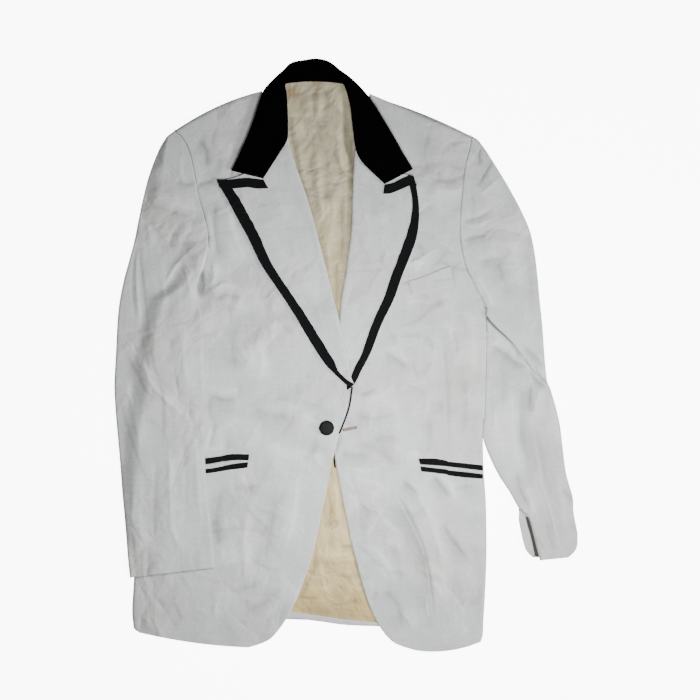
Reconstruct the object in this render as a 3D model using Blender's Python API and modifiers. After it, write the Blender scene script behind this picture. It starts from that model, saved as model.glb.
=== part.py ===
"""Pale tuxedo jacket laid flat on its back, as closed cloth walls.

The wearer's right side lies at -X and the neck points to +Y. Every panel is a grid run
between two edges that a table of sections gives in millimetres, and a few height rules
stack the layers. The origin is on the resting surface, under the middle of the jacket.
"""

import math

import bmesh
import bpy

MM = 0.001

# Cloth walls and gaps, millimetres
SEAM = 0.5
LAYER_GAP = 0.3
LINING_GAP = 0.5
BACK_WALL = 1.6
LINING_WALL = 1.0
FRONT_WALL = 2.4
SLEEVE_WALL = 1.6
LAPEL_WALL = 1.8
BRAID_WALL = 0.8
WELT_WALL = 1.2
FALL_WALL = 1.8
VENT_LINING_WALL = 0.8

# Heights of the upper faces above the resting surface, millimetres
FRONT_FOOT = BACK_WALL + 2 * LAYER_GAP
FREE_TOP = 5.9
BODY_TOP = 7.8
FREE_REACH = 70.0
SIDE_FOLD = 6.0
ROLL_RETURN = 1.5
SLEEVE_TURNS = 2
SLEEVE_FILLS = 6
SLEEVE_FOLD = 5.0
SLEEVE_REST = 9.4
SLEEVE_RAMP = 33.0
SLEEVE_SHELF = 6.0
SLEEVE_FOOT = 2.3
SLEEVE_UNDERSIDE = 4.9
PAD_HEIGHT = 4.0
PAD_REACH = 110.0
LAPEL_LIFT = 0.7
VENT_LINING_TOP = 2.8
NECK_RISE = 2.2
NECK_SQUASH = 1.3
FRONT_NECK_LIFT = 1.35
COLLAR_ROUND = 3.0
COLLAR_DROP = 1.4
EDGE_BRAID_LIFT = 0.4
HEM_FLATTENS = 0.8

# Rounding of the shoulder seams, in rows of a panel's table
CROWN = 0.4
FRONT_CROWN_WALL = 0.15
SLEEVE_CROWN_WALL = 0.12
SLEEVE_SWELL = 0.4
FRONT_TURNS = 2
FRONT_FILLS = 8
FRONT_ROUNDS_FROM = 7
FRONT_ROUNDS_OVER = 2
EDGE_CROWDING = 1.25

# Named places, millimetres
SHOULDER_RIGHT = (-241.0, 314.0)
SHOULDER_LEFT = (176.0, 307.0)
NECK_CENTRE = (-43.0, 392.0)
NECK_FLAT = 64.0
NECK_RAMP = 42.0
HEM_START = -330.0
HEM_REACH = 50.0
ARMPIT_START = 161.0
ARMPIT_REACH = 30.0
BUTTON_CENTRE = (-27.0, -102.0)
BUTTON_RADIUS = 10.5
BUTTON_HEIGHT = 4.0
BUTTON_BEVEL = 1.6
BUTTONHOLE = ((-4.0, -105.2), (14.5, -101.4))
BUTTONHOLE_WIDTH = 3.4

# How far the wearer's right front is raised where it crosses the left one
CLOSURE_REACH = 62.0
CLOSURE = (
    # y, lift
    (85.0, 0.0),
    (55.0, 7.4),
    (-62.0, 7.4),
    (-78.0, 5.6),
    (-135.0, 5.6),
    (-180.0, 0.0),
)

FRONT_RIGHT = (
    # side x, side y, edge x, edge y, bow, setback
    (-241, 314, -118, 370, 7, 0),
    (-230, 305, -112, 351, 4, 0),
    (-220, 287, -108, 326, 1, 0),
    (-213, 259, -88, 300, 0, 4),
    (-207, 224, -69, 263, 0, 7.5),
    (-196, 185, -52, 210, 0, 7.5),
    (-193, 157, -41, 171, 0, 7.5),
    (-200, 125, -31, 129, 0, 7.5),
    (-218, 98, -20, 94, 0, 7.5),
    (-246, 77, -13, 60, 0, 7.5),
    (-256, 42, -5, 28, 0, 7.5),
    (-263, 0, 4, -7, 0, 7.5),
    (-269, -42, 6, -46, 0, 5),
    (-274, -80, 1, -78, 0, 0),
    (-280, -119, -11, -111, 0, 0),
    (-284, -161, -21, -161, 0, 0),
    (-290, -217, -34, -221, 0, 0),
    (-295, -273, -46, -277, 0, 0),
    (-298, -322, -62, -325, 0, 0),
    (-300, -357, -77, -358, 0, 0),
    (-299, -374, -91, -381, 0, 0),
    (-297, -384, -109, -400, -1, 0),
    (-290, -389, -136, -410, -4, 0),
)

FRONT_LEFT = (
    # side x, side y, edge x, edge y, bow, setback
    (176, 307, 32, 367, 0, 0),
    (174, 293, 35, 349, 0, 0),
    (169, 273, 36, 326, 0, 0),
    (165, 249, 25, 300, 0, 4),
    (162, 217, 11, 266, 0, 7.5),
    (160, 186, 8, 217, 0, 7.5),
    (161, 157, 7, 172, 0, 7.5),
    (169, 122, 1, 130, 0, 7.5),
    (182, 97, -6, 91, 0, 7.5),
    (196, 69, -8, 46, 0, 7.5),
    (197, 42, -11, 14, 0, 7.5),
    (196, 7, -14, -14, 0, 7.5),
    (195, -35, -18, -46, 0, 9),
    (193.4, -77, -21, -77, 0, 0),
    (192, -119, -21, -108, 0, 0),
    (193, -161, -16, -140, 0, 0),
    (196, -203, -7, -192, 0, 0),
    (197, -245, 5, -252, 0, 0),
    (197, -287, 18, -304, 0, 0),
    (195, -336, 31, -347, 0, 0),
    (193, -371, 46, -379, 0, 0),
    (192, -392, 67, -403, -3, 0),
    (189, -402, 97, -414, -6.6, 0),
)

BACK_RIGHT = (
    # side x, side y, centre x, centre y, bow
    (-241, 314, -46, 379, 11),
    (-230, 305, -47, 361, 7),
    (-220, 287, -48, 336, 3),
    (-213, 259, -48, 301, 0),
    (-207, 224, -48, 259, 0),
    (-196, 185, -49, 210, 0),
    (-193, 157, -49, 168, 0),
    (-200, 125, -50, 126, 0),
    (-199, 77, -50, 77, 0),
    (-195, -7, -51, -7, 0),
    (-197, -105, -52, -105, 0),
    (-209, -217, -52, -217, 0),
    (-218, -315, -53, -315, 0),
    (-224, -365, -53, -372, 0),
)

BACK_LEFT = (
    # side x, side y, centre x, centre y, bow
    (176, 307, -46, 379, 11),
    (174, 293, -47, 361, 7),
    (169, 273, -48, 336, 3),
    (165, 249, -48, 301, 0),
    (162, 217, -48, 259, 0),
    (160, 186, -49, 210, 0),
    (160.2, 157, -49, 168, 0),
    (166, 124, -50, 126, 0),
    (153, 77, -50, 77, 0),
    (139, -7, -51, -7, 0),
    (136, -105, -52, -105, 0),
    (140, -217, -52, -217, 0),
    (144, -315, -53, -315, 0),
    (146, -382, -53, -372, -4),
)

SIDE_RIGHT = (
    # fold x, fold y, seam x, seam y, bow
    (-221, 95, -204, 119, 0),
    (-246, 77, -199, 77, 0),
    (-263, 0, -195, -7, 0),
    (-277, -98, -197, -105, 0),
    (-290, -217, -209, -217, 0),
    (-298, -315, -218, -315, 0),
    (-298, -374, -224, -365, 0),
)

SIDE_LEFT = (
    # fold x, fold y, seam x, seam y, bow
    (180, 92, 171, 112, 0),
    (196, 69, 153, 77, 0),
    (196, -7, 139, -7, 0),
    (192, -105, 136, -105, 0),
    (197, -217, 140, -217, 0),
    (196, -315, 144, -315, 0),
    (192, -392, 146, -382, 0),
)

LINING = (
    # left x, left y, right x, right y, bow
    (-82, 378, 0, 377.5, 3.4),
    (-109, 343, 28, 343, 0),
    (-104, 301, 36, 301, 0),
    (-92, 259, 31, 259, 0),
    (-83, 210, 28, 210, 0),
    (-64, 147, 28, 147, 0),
    (-48, 77, 20, 77, 0),
    (-39, 7, 20, 7, 0),
    (-39, -63, 17, -63, 0),
    (-43, -133, 17, -133, 0),
    (-60, -203, 22, -203, 0),
    (-76, -273, 39, -273, 0),
    (-95, -329, 56, -329, 0),
    (-118, -350, 73, -374, -3),
)

SLEEVE_RIGHT = (
    # outer x, outer y, inner x, inner y, outer top, inner top
    (-251, 307, -241, 314, 7, 12),
    (-263, 287, -230, 305, 6.5, 12),
    (-276, 253, -220, 287, 6.5, 11),
    (-284, 223, -213, 259, 6.5, 10),
    (-291, 190, -207, 224, 6.5, 9),
    (-297, 160, -196, 185, 6.5, 8),
    (-305, 130, -193, 157, 6.5, 8),
    (-312, 104, -200, 125, 6.5, 7),
    (-318, 73, -208, 94, 6.5, 6.5),
    (-321, 42, -202, 62, 6.5, 6.5),
    (-323, 0, -199, 14, 6.5, 6.5),
    (-325, -42, -199, -35, 6.5, 6.5),
    (-323, -84, -199, -84, 6.5, 6.5),
    (-318, -139, -197, -140, 6.5, 6.5),
    (-314, -189, -195, -188, 6.5, 6.5),
    (-309, -238, -189, -234, 6.5, 6.5),
    (-305, -283, -185, -273, 6.5, 6.5),
    (-302, -311, -183, -297, 6.5, 6.5),
)

SLEEVE_LEFT = (
    # outer x, outer y, inner x, inner y, outer top, inner top
    (185, 302, 176, 307, 7, 12),
    (197, 286, 174, 293, 6.5, 12),
    (214, 259, 169, 273, 6.5, 11),
    (230, 232, 165, 249, 6.5, 10),
    (245, 204, 162, 217, 6.5, 9),
    (258, 174, 160, 186, 6.5, 8),
    (265, 141, 161, 157, 6.5, 8),
    (269, 108, 169, 122, 6.5, 8),
    (272, 74, 182, 97, 6.5, 9),
    (276, 35, 196, 69, 6.5, 11),
    (281, -43, 197.6, 63, 7, 12),
    (283, -49, 197.8, 57, 6.5, 6),
    (287, -53, 197.6, 35, 6.5, 6.5),
    (291, -62, 196.7, 4, 6.5, 6.5),
    (295, -76, 195.8, -35, 6.5, 6.5),
    (300, -98, 193.8, -85, 6.5, 6.5),
    (304, -130, 193.9, -117, 6.5, 6.5),
    (309, -167, 210, -161, 6.5, 6.5),
    (318, -199, 230, -193, 6.5, 6.5),
    (319, -218, 242, -214, 6.5, 6.5),
    (321, -231, 255, -227, 6.5, 6.5),
    (325, -253, 262, -249, 6.5, 6.5),
    (323, -272, 267, -269, 6.5, 6.5),
    (312, -284, 272, -288, 6.5, 6.5),
)

LAPEL_RIGHT = (
    # outer x, outer y, roll x, roll y, bow, braid
    (-181, 244, -81, 304, -14, 17),
    (-172, 228, -74, 277, -10, 17),
    (-165, 216, -67, 256, -6, 17),
    (-153, 193, -56, 225, -3, 17),
    (-137, 164, -43, 181, 0, 16),
    (-119, 127, -31, 134, 0, 15),
    (-95, 91, -20, 91, 0, 15),
    (-74, 59, -10, 52, 0, 17),
    (-52, 22, -3, 21, 0, 17),
    (-32, -9, 4, -7, 0, 15),
    (-20, -24, 6, -27, 0, 10),
    (-3, -42, 7, -44, 0, 4),
)

LAPEL_LEFT = (
    # outer x, outer y, roll x, roll y, bow, braid
    (95, 250, 13, 287, -4, 9),
    (99, 232, 11, 266, -3, 10),
    (102, 210, 10, 245, -1, 10),
    (102, 186, 9, 217, 0, 12),
    (98, 161, 8, 182, 0, 15),
    (88, 134, 4, 147, 0, 15),
    (78, 109, -1, 112, 0, 15),
    (67, 78, -7, 77, 0, 15),
    (50, 43, -10, 42, 0, 14),
    (35, 4, -12, 7, 0, 12),
    (22, -21, -14, -18, 0, 11),
    (13, -39, -17, -38, 0, 9),
    (0, -52, -18, -52, 0, 6),
)

COLLAR = (
    # outer x, outer y, inner x, inner y, outer top, inner top, underside
    (-160.8, 257.8, -115.6, 246.6, 13, 13, 10.8),
    (-154, 272, -104, 265, 13, 13, 10.8),
    (-147, 287, -92, 284, 13, 13, 10.8),
    (-139, 305, -82, 302, 13, 12.5, 10.8),
    (-130, 329, -81, 329, 12.5, 12.5, 10),
    (-122, 354, -82, 353, 12, 12.5, 9.5),
    (-115, 372, -83, 367, 11, 12, 8.8),
    (-102, 387, -85, 377, 8, 10, 5.8),
    (-88, 400, -83, 380, 7.5, 7.5, 3.4),
    (-77, 410, -73, 381, 7.5, 6, 2.4),
    (-59, 414, -57, 382, 7.5, 5.5, 2.4),
    (-41, 416, -41, 383, 7.5, 5.5, 2.4),
    (-24, 412, -25, 383, 7.5, 5.5, 2.4),
    (-8, 400, -13, 382, 7.5, 6, 2.4),
    (8, 388, -4, 379, 8, 9, 5.8),
    (22, 374, 1, 367, 11, 12, 8.8),
    (38, 354, 6, 346, 12, 12.5, 9.5),
    (57, 323, 9, 321, 12.5, 12.5, 10),
    (70, 301, 13, 291, 13, 13, 10.8),
    (80, 283, 20, 273, 13, 13, 10.8),
    (88, 270, 36, 256, 13, 13, 10.8),
    (94, 260, 54, 239, 13, 13, 10.8),
)

# Hem turn-up across the back: lower x, lower y, upper x, upper y
BACK_HEM = (
    (-200, -367, -200, -353), (-130, -369, -130, -353), (-60, -371, -60, -362), (0, -379, 0, -370.5),
    (70, -381, 70, -376), (130, -380, 130, -375))

# The under sleeve is the sleeve's outline, with the lap of the cuff vent at its end
VENT_EDGE = ((242, -216), (242, -231), (246, -252), (252, -273), (262, -284))
SLEEVE_LEFT_UNDER = SLEEVE_LEFT[:19] + tuple(
    (row[0], row[1], x, y) + row[4:] for row, (x, y) in zip(SLEEVE_LEFT[19:], VENT_EDGE))

# Strips that lie on the panels, as sections of lower x, lower y, upper x, upper y
HIP_BRAIDS_RIGHT = {
    "upper": (
        (-210, -154.5, -210, -145.5), (-190.4, -152.5, -192, -143.8), (-180.2, -150.5, -186.6, -143.1),
        (-168, -148.7, -172.6, -141), (-154, -147.4, -160.6, -138.7), (-136.2, -147.7, -135.4, -138.8)),
    "lower": (
        (-210, -166.5, -210, -159.8), (-189.4, -165.2, -187.6, -158.6), (-165.2, -161.1, -159.6, -152.7),
        (-152.2, -159.6, -144.6, -150.6), (-138.2, -157.8, -136.8, -150)),
}
HIP_BRAIDS_LEFT = {
    "upper": (
        (103.9, -153.3, 101.5, -144.8), (124, -154.6, 124, -144.9), (134, -155.3, 134, -146.4),
        (139, -155.7, 139, -147.3), (141.2, -155.9, 141.2, -147.8), (142.7, -156.2, 142.7, -149),
        (145, -156.5, 145, -149.3), (150, -157.1, 150, -149.8), (167, -159.1, 167, -151.6),
        (191.7, -162, 191.7, -154.4)),
    "lower": (
        (105.4, -163, 104.2, -155.9), (124, -165.1, 124, -158), (134, -166.3, 134, -159.2),
        (139, -166.9, 139, -159.8), (141.2, -167.2, 141.2, -160), (142.7, -168.4, 142.7, -161.1),
        (145, -168.8, 145, -161.4), (150, -169.5, 150, -162), (167, -171.6, 167, -163.8),
        (191.7, -173.4, 191.7, -166.6)),
}
HIP_JET_RIGHT = (
    (-210, -159.2, -210, -155.1), (-190, -158.2, -190, -153.2), (-172, -155, -172, -149.9),
    (-160, -152.2, -160, -148.6), (-145, -150, -145, -148.2))
HIP_JET_LEFT = (
    (105.5, -155.5, 105.5, -153.9), (124, -157.5, 124, -155.1), (141, -159.4, 141, -156.5),
    (167, -163.2, 167, -159.7), (190.5, -165.9, 190.5, -162.6))
CHEST_WELT = (
    (92.5, 83.5, 88, 103.9), (103, 86, 100.1, 107.1), (118, 89.5, 115.2, 112.6), (133, 93.2, 129, 118.4),
    (143, 95.5, 138.6, 122.5), (151, 97, 146.5, 124))
TOP_BRAID_RIGHT = (
    (-157.3, 232.5, -165.6, 245.3), (-148.7, 233.5, -151.1, 246.6), (-137.1, 234.4, -138.2, 247.6),
    (-125.4, 232.6, -127.8, 246.6), (-108.6, 233, -115.4, 245.4))
TOP_BRAID_LEFT = (
    (51.9, 225.3, 53.8, 238.3), (61.6, 225.8, 65.9, 240.7), (71.3, 229.3, 75.6, 245.8),
    (88.7, 236, 86.4, 250))
COLLAR_FALL = (
    (-98, 367, -88, 396), (-78, 365, -76, 407), (-59, 365, -59, 412), (-41, 365, -41, 413),
    (-24, 365, -24, 409), (-6, 365, -8, 397), (10, 365, 6, 385))

# Braid that peeps past the closing edges, as points down the edge
EDGE_BRAID_RIGHT = ((6.8, -48), (4.6, -65), (1.6, -78), (-4.5, -95), (-10.6, -110))
EDGE_BRAID_LEFT = ((-16.4, -139), (-15.2, -148), (-14, -158))
EDGE_BRAID_WIDTH = 2.6

# Lap of the cuff vent: outer x, outer y, slot x, slot y
VENT_FLAP = (
    (242, -216, 251, -226), (243, -231, 254, -238), (246, -252, 258, -252), (252, -273, 263, -273),
    (262, -284, 264, -281))

# Lining seen in the slot of the vent: lap side x, y, sleeve side x, y
VENT_LINING = (
    (251.6, -226.6, 254, -226.9), (254.6, -238.4, 258, -238.3), (258.6, -252.3, 262, -251.7),
    (263.6, -273.2, 267, -272.2), (264.8, -281.5, 270.5, -284.5))


def smooth(value):
    """Ease from 0 to 1 as the value goes from 0 to 1."""
    value = max(0.0, min(1.0, value))
    return value * value * (3.0 - 2.0 * value)


def blend(start, end, share):
    return start + (end - start) * share


def section(rows, place):
    """Columns of a table at a place between its rows, on a smooth curve through them."""
    last = len(rows) - 1
    index = min(int(place), last - 1)
    share = place - index
    before, start = rows[max(index - 1, 0)], rows[index]
    end, after = rows[index + 1], rows[min(index + 2, last)]
    values = []
    for a, b, c, d in zip(before, start, end, after):
        slope_in, slope_out = (c - a) / 2, (d - b) / 2
        lean = 3 * (c - b) - 2 * slope_in - slope_out
        turn = 2 * (b - c) + slope_in + slope_out
        values.append(b + share * (slope_in + share * (lean + share * turn)))
    return values


def plan(rows, place, inset):
    """Point at a distance along a section from its first end, bowed towards +Y, and the share gone."""
    values = section(rows, place)
    x_start, y_start, x_end, y_end = values[:4]
    bow = values[4] if len(values) > 4 else 0.0
    width = math.hypot(x_end - x_start, y_end - y_start)
    share = inset / width
    x = blend(x_start, x_end, share)
    y = blend(y_start, y_end, share) + 4 * bow * share * (1 - share)
    return x, y, share


def width_of(rows, place):
    values = section(rows, place)
    return math.hypot(values[2] - values[0], values[3] - values[1])


def edge_at(rows, column, y):
    """X of one edge of a panel at a height along the jacket, by straight steps between rows."""
    points = sorted((row[column + 1], row[column]) for row in rows)
    if y <= points[0][0]:
        return points[0][1]
    for (y_low, x_low), (y_high, x_high) in zip(points, points[1:]):
        if y <= y_high:
            return blend(x_low, x_high, (y - y_low) / max(y_high - y_low, 1e-6))
    return points[-1][1]


def stepped(pairs, y):
    """Value of a falling table of (y, value) pairs, eased between them."""
    if y >= pairs[0][0]:
        return pairs[0][1]
    for (y_high, above), (y_low, below) in zip(pairs, pairs[1:]):
        if y >= y_low:
            return blend(above, below, smooth((y_high - y) / (y_high - y_low)))
    return pairs[-1][1]


def back_under(x, y):
    """The back lies on the surface, and on the collar's fall at the neck."""
    away = math.hypot(x - NECK_CENTRE[0], (y - NECK_CENTRE[1]) * NECK_SQUASH)
    return NECK_RISE * (1 - smooth((away - NECK_FLAT) / NECK_RAMP))


def back_top(x, y):
    return back_under(x, y) + BACK_WALL


def lining_top(x, y):
    return back_top(x, y) + LINING_GAP + LINING_WALL


def front_rest(rows, x, y):
    """Upper face of a front without its shoulder pad: low at the free edge, higher outwards."""
    right = rows is FRONT_RIGHT
    edge = edge_at(rows, 2, y)
    away = edge - x if right else x - edge
    swell = smooth(away / FREE_REACH) * (1 - HEM_FLATTENS * smooth((HEM_START - y) / HEM_REACH))
    height = blend(FREE_TOP, BODY_TOP, swell)
    if right:
        height += stepped(CLOSURE, y) * (1 - smooth(away / CLOSURE_REACH))
    return height


def front_top(rows, x, y):
    shoulder = SHOULDER_RIGHT if rows is FRONT_RIGHT else SHOULDER_LEFT
    away = math.hypot(x - shoulder[0], y - shoulder[1])
    return front_rest(rows, x, y) + PAD_HEIGHT * (1 - smooth(away / PAD_REACH))


def sleeve_rest(x, y):
    """Surface under the right sleeve: the table outside the body, the body inside it."""
    inside = x - edge_at(FRONT_RIGHT, 0, y)
    gate = smooth((ARMPIT_START - y) / ARMPIT_REACH)
    return SLEEVE_REST * smooth((inside + SLEEVE_RAMP) / (SLEEVE_RAMP - SLEEVE_SHELF)) * gate


def on_table(height):
    """Height rule for a flat sheet whose upper face is this far above the resting surface."""
    return lambda x, y: height


def places(rows, fine_rows, has_crown=False):
    """Where lines are laid down a table: closer over its first rows, closest on a rounded crown."""
    marks = [0.0]
    if has_crown:
        marks = [CROWN * (1 - math.cos(math.radians(angle))) for angle in (0, 30, 60)]
    for row in range(len(rows) - 1):
        steps = 2 if row < fine_rows else 1
        marks += [row + step / steps for step in range(1, steps + 1)]
    return marks


def new_object(name, bm, material, collection):
    mesh = bpy.data.meshes.new(name)
    bm.to_mesh(mesh)
    bm.free()
    mesh.materials.append(material)
    mesh.shade_smooth()
    mesh.set_sharp_from_angle(angle=math.radians(40))
    piece = bpy.data.objects.new(name, mesh)
    collection.objects.link(piece)
    return piece


def grid(across, along):
    """Flat grid of cells across a panel and along it."""
    bm = bmesh.new()
    bmesh.ops.create_grid(bm, x_segments=across, y_segments=along, size=0.5)
    return bm


def cell(vert, across, along):
    """Column and line of a point of a flat grid."""
    return round((vert.co.x + 0.5) * across), round((vert.co.y + 0.5) * along)


def thick_panel(name, across, along, surface, material, collection):
    """Closed wall between two faces: surface(column, line, depth) is upper at 0, lower at 1."""
    bm = grid(across, along)
    uppers = list(bm.verts)
    grown = bmesh.ops.extrude_face_region(bm, geom=list(bm.faces), use_keep_orig=True)
    lowers = [item for item in grown["geom"] if isinstance(item, bmesh.types.BMVert)]
    for verts, depth in ((uppers, 0), (lowers, 1)):
        spots = [surface(*cell(vert, across, along), depth) for vert in verts]
        for vert, spot in zip(verts, spots):
            vert.co = [value * MM for value in spot]
    bmesh.ops.recalc_face_normals(bm, faces=bm.faces)
    if bm.calc_volume(signed=True) < 0:
        bmesh.ops.reverse_faces(bm, faces=bm.faces)
    return new_object(name, bm, material, collection)


def shell(name, across, along, surface, wall, material, collection):
    """Sheet whose upper face is surface(column, line), with Solidify for its wall."""
    bm = grid(across, along)
    spots = [surface(*cell(vert, across, along)) for vert in bm.verts]
    for vert, spot in zip(bm.verts, spots):
        vert.co = [value * MM for value in spot]
    bm.normal_update()
    if sum(face.normal.z * face.calc_area() for face in bm.faces) < 0:
        bmesh.ops.reverse_faces(bm, faces=bm.faces)
    piece = new_object(name, bm, material, collection)
    solidify = piece.modifiers.new("wall", "SOLIDIFY")
    solidify.thickness = wall * MM
    solidify.offset = -1.0
    solidify.use_even_offset = True
    return piece


def slab(name, rows, marks, across, top, wall, material, collection):
    """Even sheet over a table of sections, on a height rule."""

    def surface(column, line):
        width = width_of(rows, marks[line])
        inset = blend(SEAM / 2, width - SEAM / 2, column / across)
        x, y, _ = plan(rows, marks[line], inset)
        return x, y, top(x, y)

    return shell(name, across, len(marks) - 1, surface, wall, material, collection)


def round_edge(turn, reach, wall, depth):
    """Inset, and share of the full height, on a quarter-round edge from its foot to its top."""
    angle = turn * math.pi / 2
    return reach - (reach - depth * wall) * math.cos(angle), math.sin(angle)


def crowned(mark, wall_share, depth):
    """Place and share of the full height on a crown that rounds over the first lines."""
    if mark >= CROWN:
        return mark, 1.0
    cosine = 1 - mark / CROWN
    sine = math.sqrt(1 - cosine * cosine)
    return CROWN - (CROWN - depth * wall_share) * cosine, sine


def front(name, rows, material, collection):
    """Front panel: rounded over the shoulder and down the side fold, cut plain at its other edges."""
    marks = places(rows, 9, has_crown=True)
    turns, fills = FRONT_TURNS, FRONT_FILLS
    across = turns + fills

    def surface(column, line, depth):
        place, share_up = crowned(marks[line], FRONT_CROWN_WALL, depth)
        setback = section(rows, place)[5]
        width = width_of(rows, place)
        rounding = max(0.0, min(1.0, (place - FRONT_ROUNDS_FROM) / FRONT_ROUNDS_OVER))
        turn = min(column / turns, 1.0)
        inner_inset, lift = round_edge(turn, SIDE_FOLD, FRONT_WALL, depth)
        inset = blend(SEAM / 2 + SIDE_FOLD * turn, inner_inset, rounding)
        if column > turns:
            share = (column - turns) / fills
            share = 1 - (1 - share) ** EDGE_CROWDING
            inset = blend(SIDE_FOLD, width - setback - SEAM / 2 * (setback == 0), share)
        x, y, _ = plan(rows, place, inset)
        flat = front_rest(rows, x, y) - FRONT_WALL if depth else front_top(rows, x, y)
        foot = FRONT_FOOT + FRONT_NECK_LIFT * back_under(x, y)
        curled = foot + (flat - foot) * lift
        height = blend(flat, curled, rounding)
        return x, y, foot + (height - foot) * share_up

    return thick_panel(name, across, len(marks) - 1, surface, material, collection)


def fold_of(width):
    """Reach of a sleeve's rounded edge, less where the sleeve is narrow."""
    return min(SLEEVE_FOLD, 0.35 * width)


def wide(rows):
    """The edge columns of a table, without the columns after them."""
    return [row[:4] for row in rows]


def sleeve_top(name, rows, rest, armhole_rows, material, collection):
    """Upper half of a sleeve, flat, with both edges rounded down below the armhole."""
    marks = places(rows, armhole_rows, has_crown=True)
    turns, fills = SLEEVE_TURNS, SLEEVE_FILLS
    across = turns + fills + turns

    def surface(column, line, depth):
        place, share_up = crowned(marks[line], SLEEVE_CROWN_WALL, depth)
        outer_top, inner_top = section(rows, place)[4:6]
        width = width_of(rows, place)
        reach = fold_of(width)
        inner_rounding = max(0.0, min(1.0, place - armhole_rows))
        lift = 1.0
        if column <= turns:
            inset, lift = round_edge(column / turns, reach, SLEEVE_WALL, depth)
        elif column < turns + fills:
            inset = blend(reach, width - reach, (column - turns) / fills)
        else:
            turn = (across - column) / turns
            curled, rounded = round_edge(turn, reach, SLEEVE_WALL, depth)
            inset = width - blend(SEAM / 2 + (reach - SEAM / 2) * turn, curled, inner_rounding)
            lift = blend(1.0, rounded, inner_rounding)
        x, y, share = plan(wide(rows), place, inset)
        top = blend(outer_top, inner_top, smooth(share / SLEEVE_SWELL))
        height = min(top - SLEEVE_WALL, SLEEVE_UNDERSIDE) if depth else top
        height = SLEEVE_FOOT + (height - SLEEVE_FOOT) * lift * share_up
        return x, y, rest(x, y) + height

    return thick_panel(name, across, len(marks) - 1, surface, material, collection)


def sleeve_under(name, rows, rest, armhole_rows, material, collection):
    """Lower half of a sleeve, with its columns under those of the upper half."""
    marks = places(rows, armhole_rows)
    across = SLEEVE_FILLS + 2

    def surface(column, line):
        width = width_of(rows, marks[line])
        reach = fold_of(width)
        inset = blend(reach, width - reach, (column - 1) / SLEEVE_FILLS)
        inset = {0: 0.0, across: width - SEAM / 2}.get(column, inset)
        x, y, _ = plan(wide(rows), marks[line], inset)
        return x, y, rest(x, y) + SLEEVE_WALL

    return shell(name, across, len(marks) - 1, surface, SLEEVE_WALL, material, collection)


def lapel_profile(rows, panel, place):
    """Section of a lapel from its outer edge, over the roll, to the edge of the front."""
    width = width_of(rows, place)
    braid = min(section(rows, place)[5], 0.45 * width)
    x, y, _ = plan(rows, place, width)
    under = front_rest(panel, x, y) - FRONT_WALL
    top = front_rest(panel, x, y) + LAPEL_LIFT + LAPEL_WALL
    radius = (top - under) / 2
    middle = under + radius
    spots = [(SEAM / 2, None), (braid, None), (blend(braid, width - radius, 0.5), None), (width - radius, None)]
    for angle in (45, 0, -45, -90):
        turn = math.radians(angle)
        spots.append((width - radius + radius * math.cos(turn), middle + radius * math.sin(turn)))
    spots.append((width - radius - ROLL_RETURN, under))
    return spots


def lapel_point(rows, panel, place, column):
    inset, height = lapel_profile(rows, panel, place)[column]
    x, y, _ = plan(rows, place, inset)
    if height is None:
        height = front_top(panel, x, y) + LAPEL_LIFT + LAPEL_WALL
    return x, y, height


def lapel(name, rows, panel, material, collection):
    marks = places(rows, 2)

    def surface(column, line):
        return lapel_point(rows, panel, marks[line], column)

    return shell(name, 8, len(marks) - 1, surface, LAPEL_WALL, material, collection)


def lapel_braid(name, rows, panel, material, collection):
    """Braid along a lapel's outer edge, made from the lapel's own points."""
    marks = places(rows, 2)

    def surface(column, line):
        x, y, height = lapel_point(rows, panel, marks[line], column)
        return x, y, height + LAYER_GAP + BRAID_WALL

    return shell(name, 1, len(marks) - 1, surface, BRAID_WALL, material, collection)


def collar(name, rows, material, collection):
    """Velvet band from one gorge round the back of the neck to the other."""
    marks = places(rows, 0)
    insets = (0.0, 0.8, COLLAR_ROUND)

    def surface(column, line, depth):
        values = section(rows, marks[line])
        outer_top, inner_top, underside = values[4:7]
        width = width_of(rows, marks[line])
        steps = insets + (width / 2,) + tuple(width - inset for inset in reversed(insets))
        x, y, share = plan(wide(rows), marks[line], steps[column])
        edge = min(steps[column], width - steps[column])
        drop = COLLAR_DROP * (1 - math.sqrt(1 - (1 - min(edge / COLLAR_ROUND, 1.0)) ** 2))
        top = blend(outer_top, inner_top, share) - drop
        return x, y, underside if depth else top

    return thick_panel(name, 6, len(marks) - 1, surface, material, collection)


def edging(name, points, panel, side, material, collection):
    """Narrow braid just past a closing edge, with its own table made from the edge points."""
    rows = [(x, y, x + side * EDGE_BRAID_WIDTH, y) for x, y in points]

    def top(x, y):
        return front_rest(panel, edge_at(panel, 2, y), y) - FRONT_WALL + BRAID_WALL + EDGE_BRAID_LIFT

    return strip(name, rows, top, BRAID_WALL, material, collection)


def button(name, material, collection):
    """Covered button, seated on the wearer's right front."""
    x, y = BUTTON_CENTRE
    ring = []
    for degrees in range(0, 360, 45):
        turn = math.radians(degrees)
        ring.append((x + BUTTON_RADIUS * math.cos(turn), y + BUTTON_RADIUS * math.sin(turn)))
    seat = max(front_top(FRONT_RIGHT, *spot) for spot in ring) + LAYER_GAP
    bm = bmesh.new()
    bmesh.ops.create_cone(
        bm, cap_ends=True, segments=24, radius1=BUTTON_RADIUS * MM, radius2=BUTTON_RADIUS * MM,
        depth=BUTTON_HEIGHT * MM)
    piece = new_object(name, bm, material, collection)
    piece.location = (x * MM, y * MM, (seat + BUTTON_HEIGHT / 2) * MM)
    bevel = piece.modifiers.new("rounding", "BEVEL")
    bevel.width = BUTTON_BEVEL * MM
    bevel.segments = 2
    bevel.limit_method = "ANGLE"
    return piece


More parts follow.
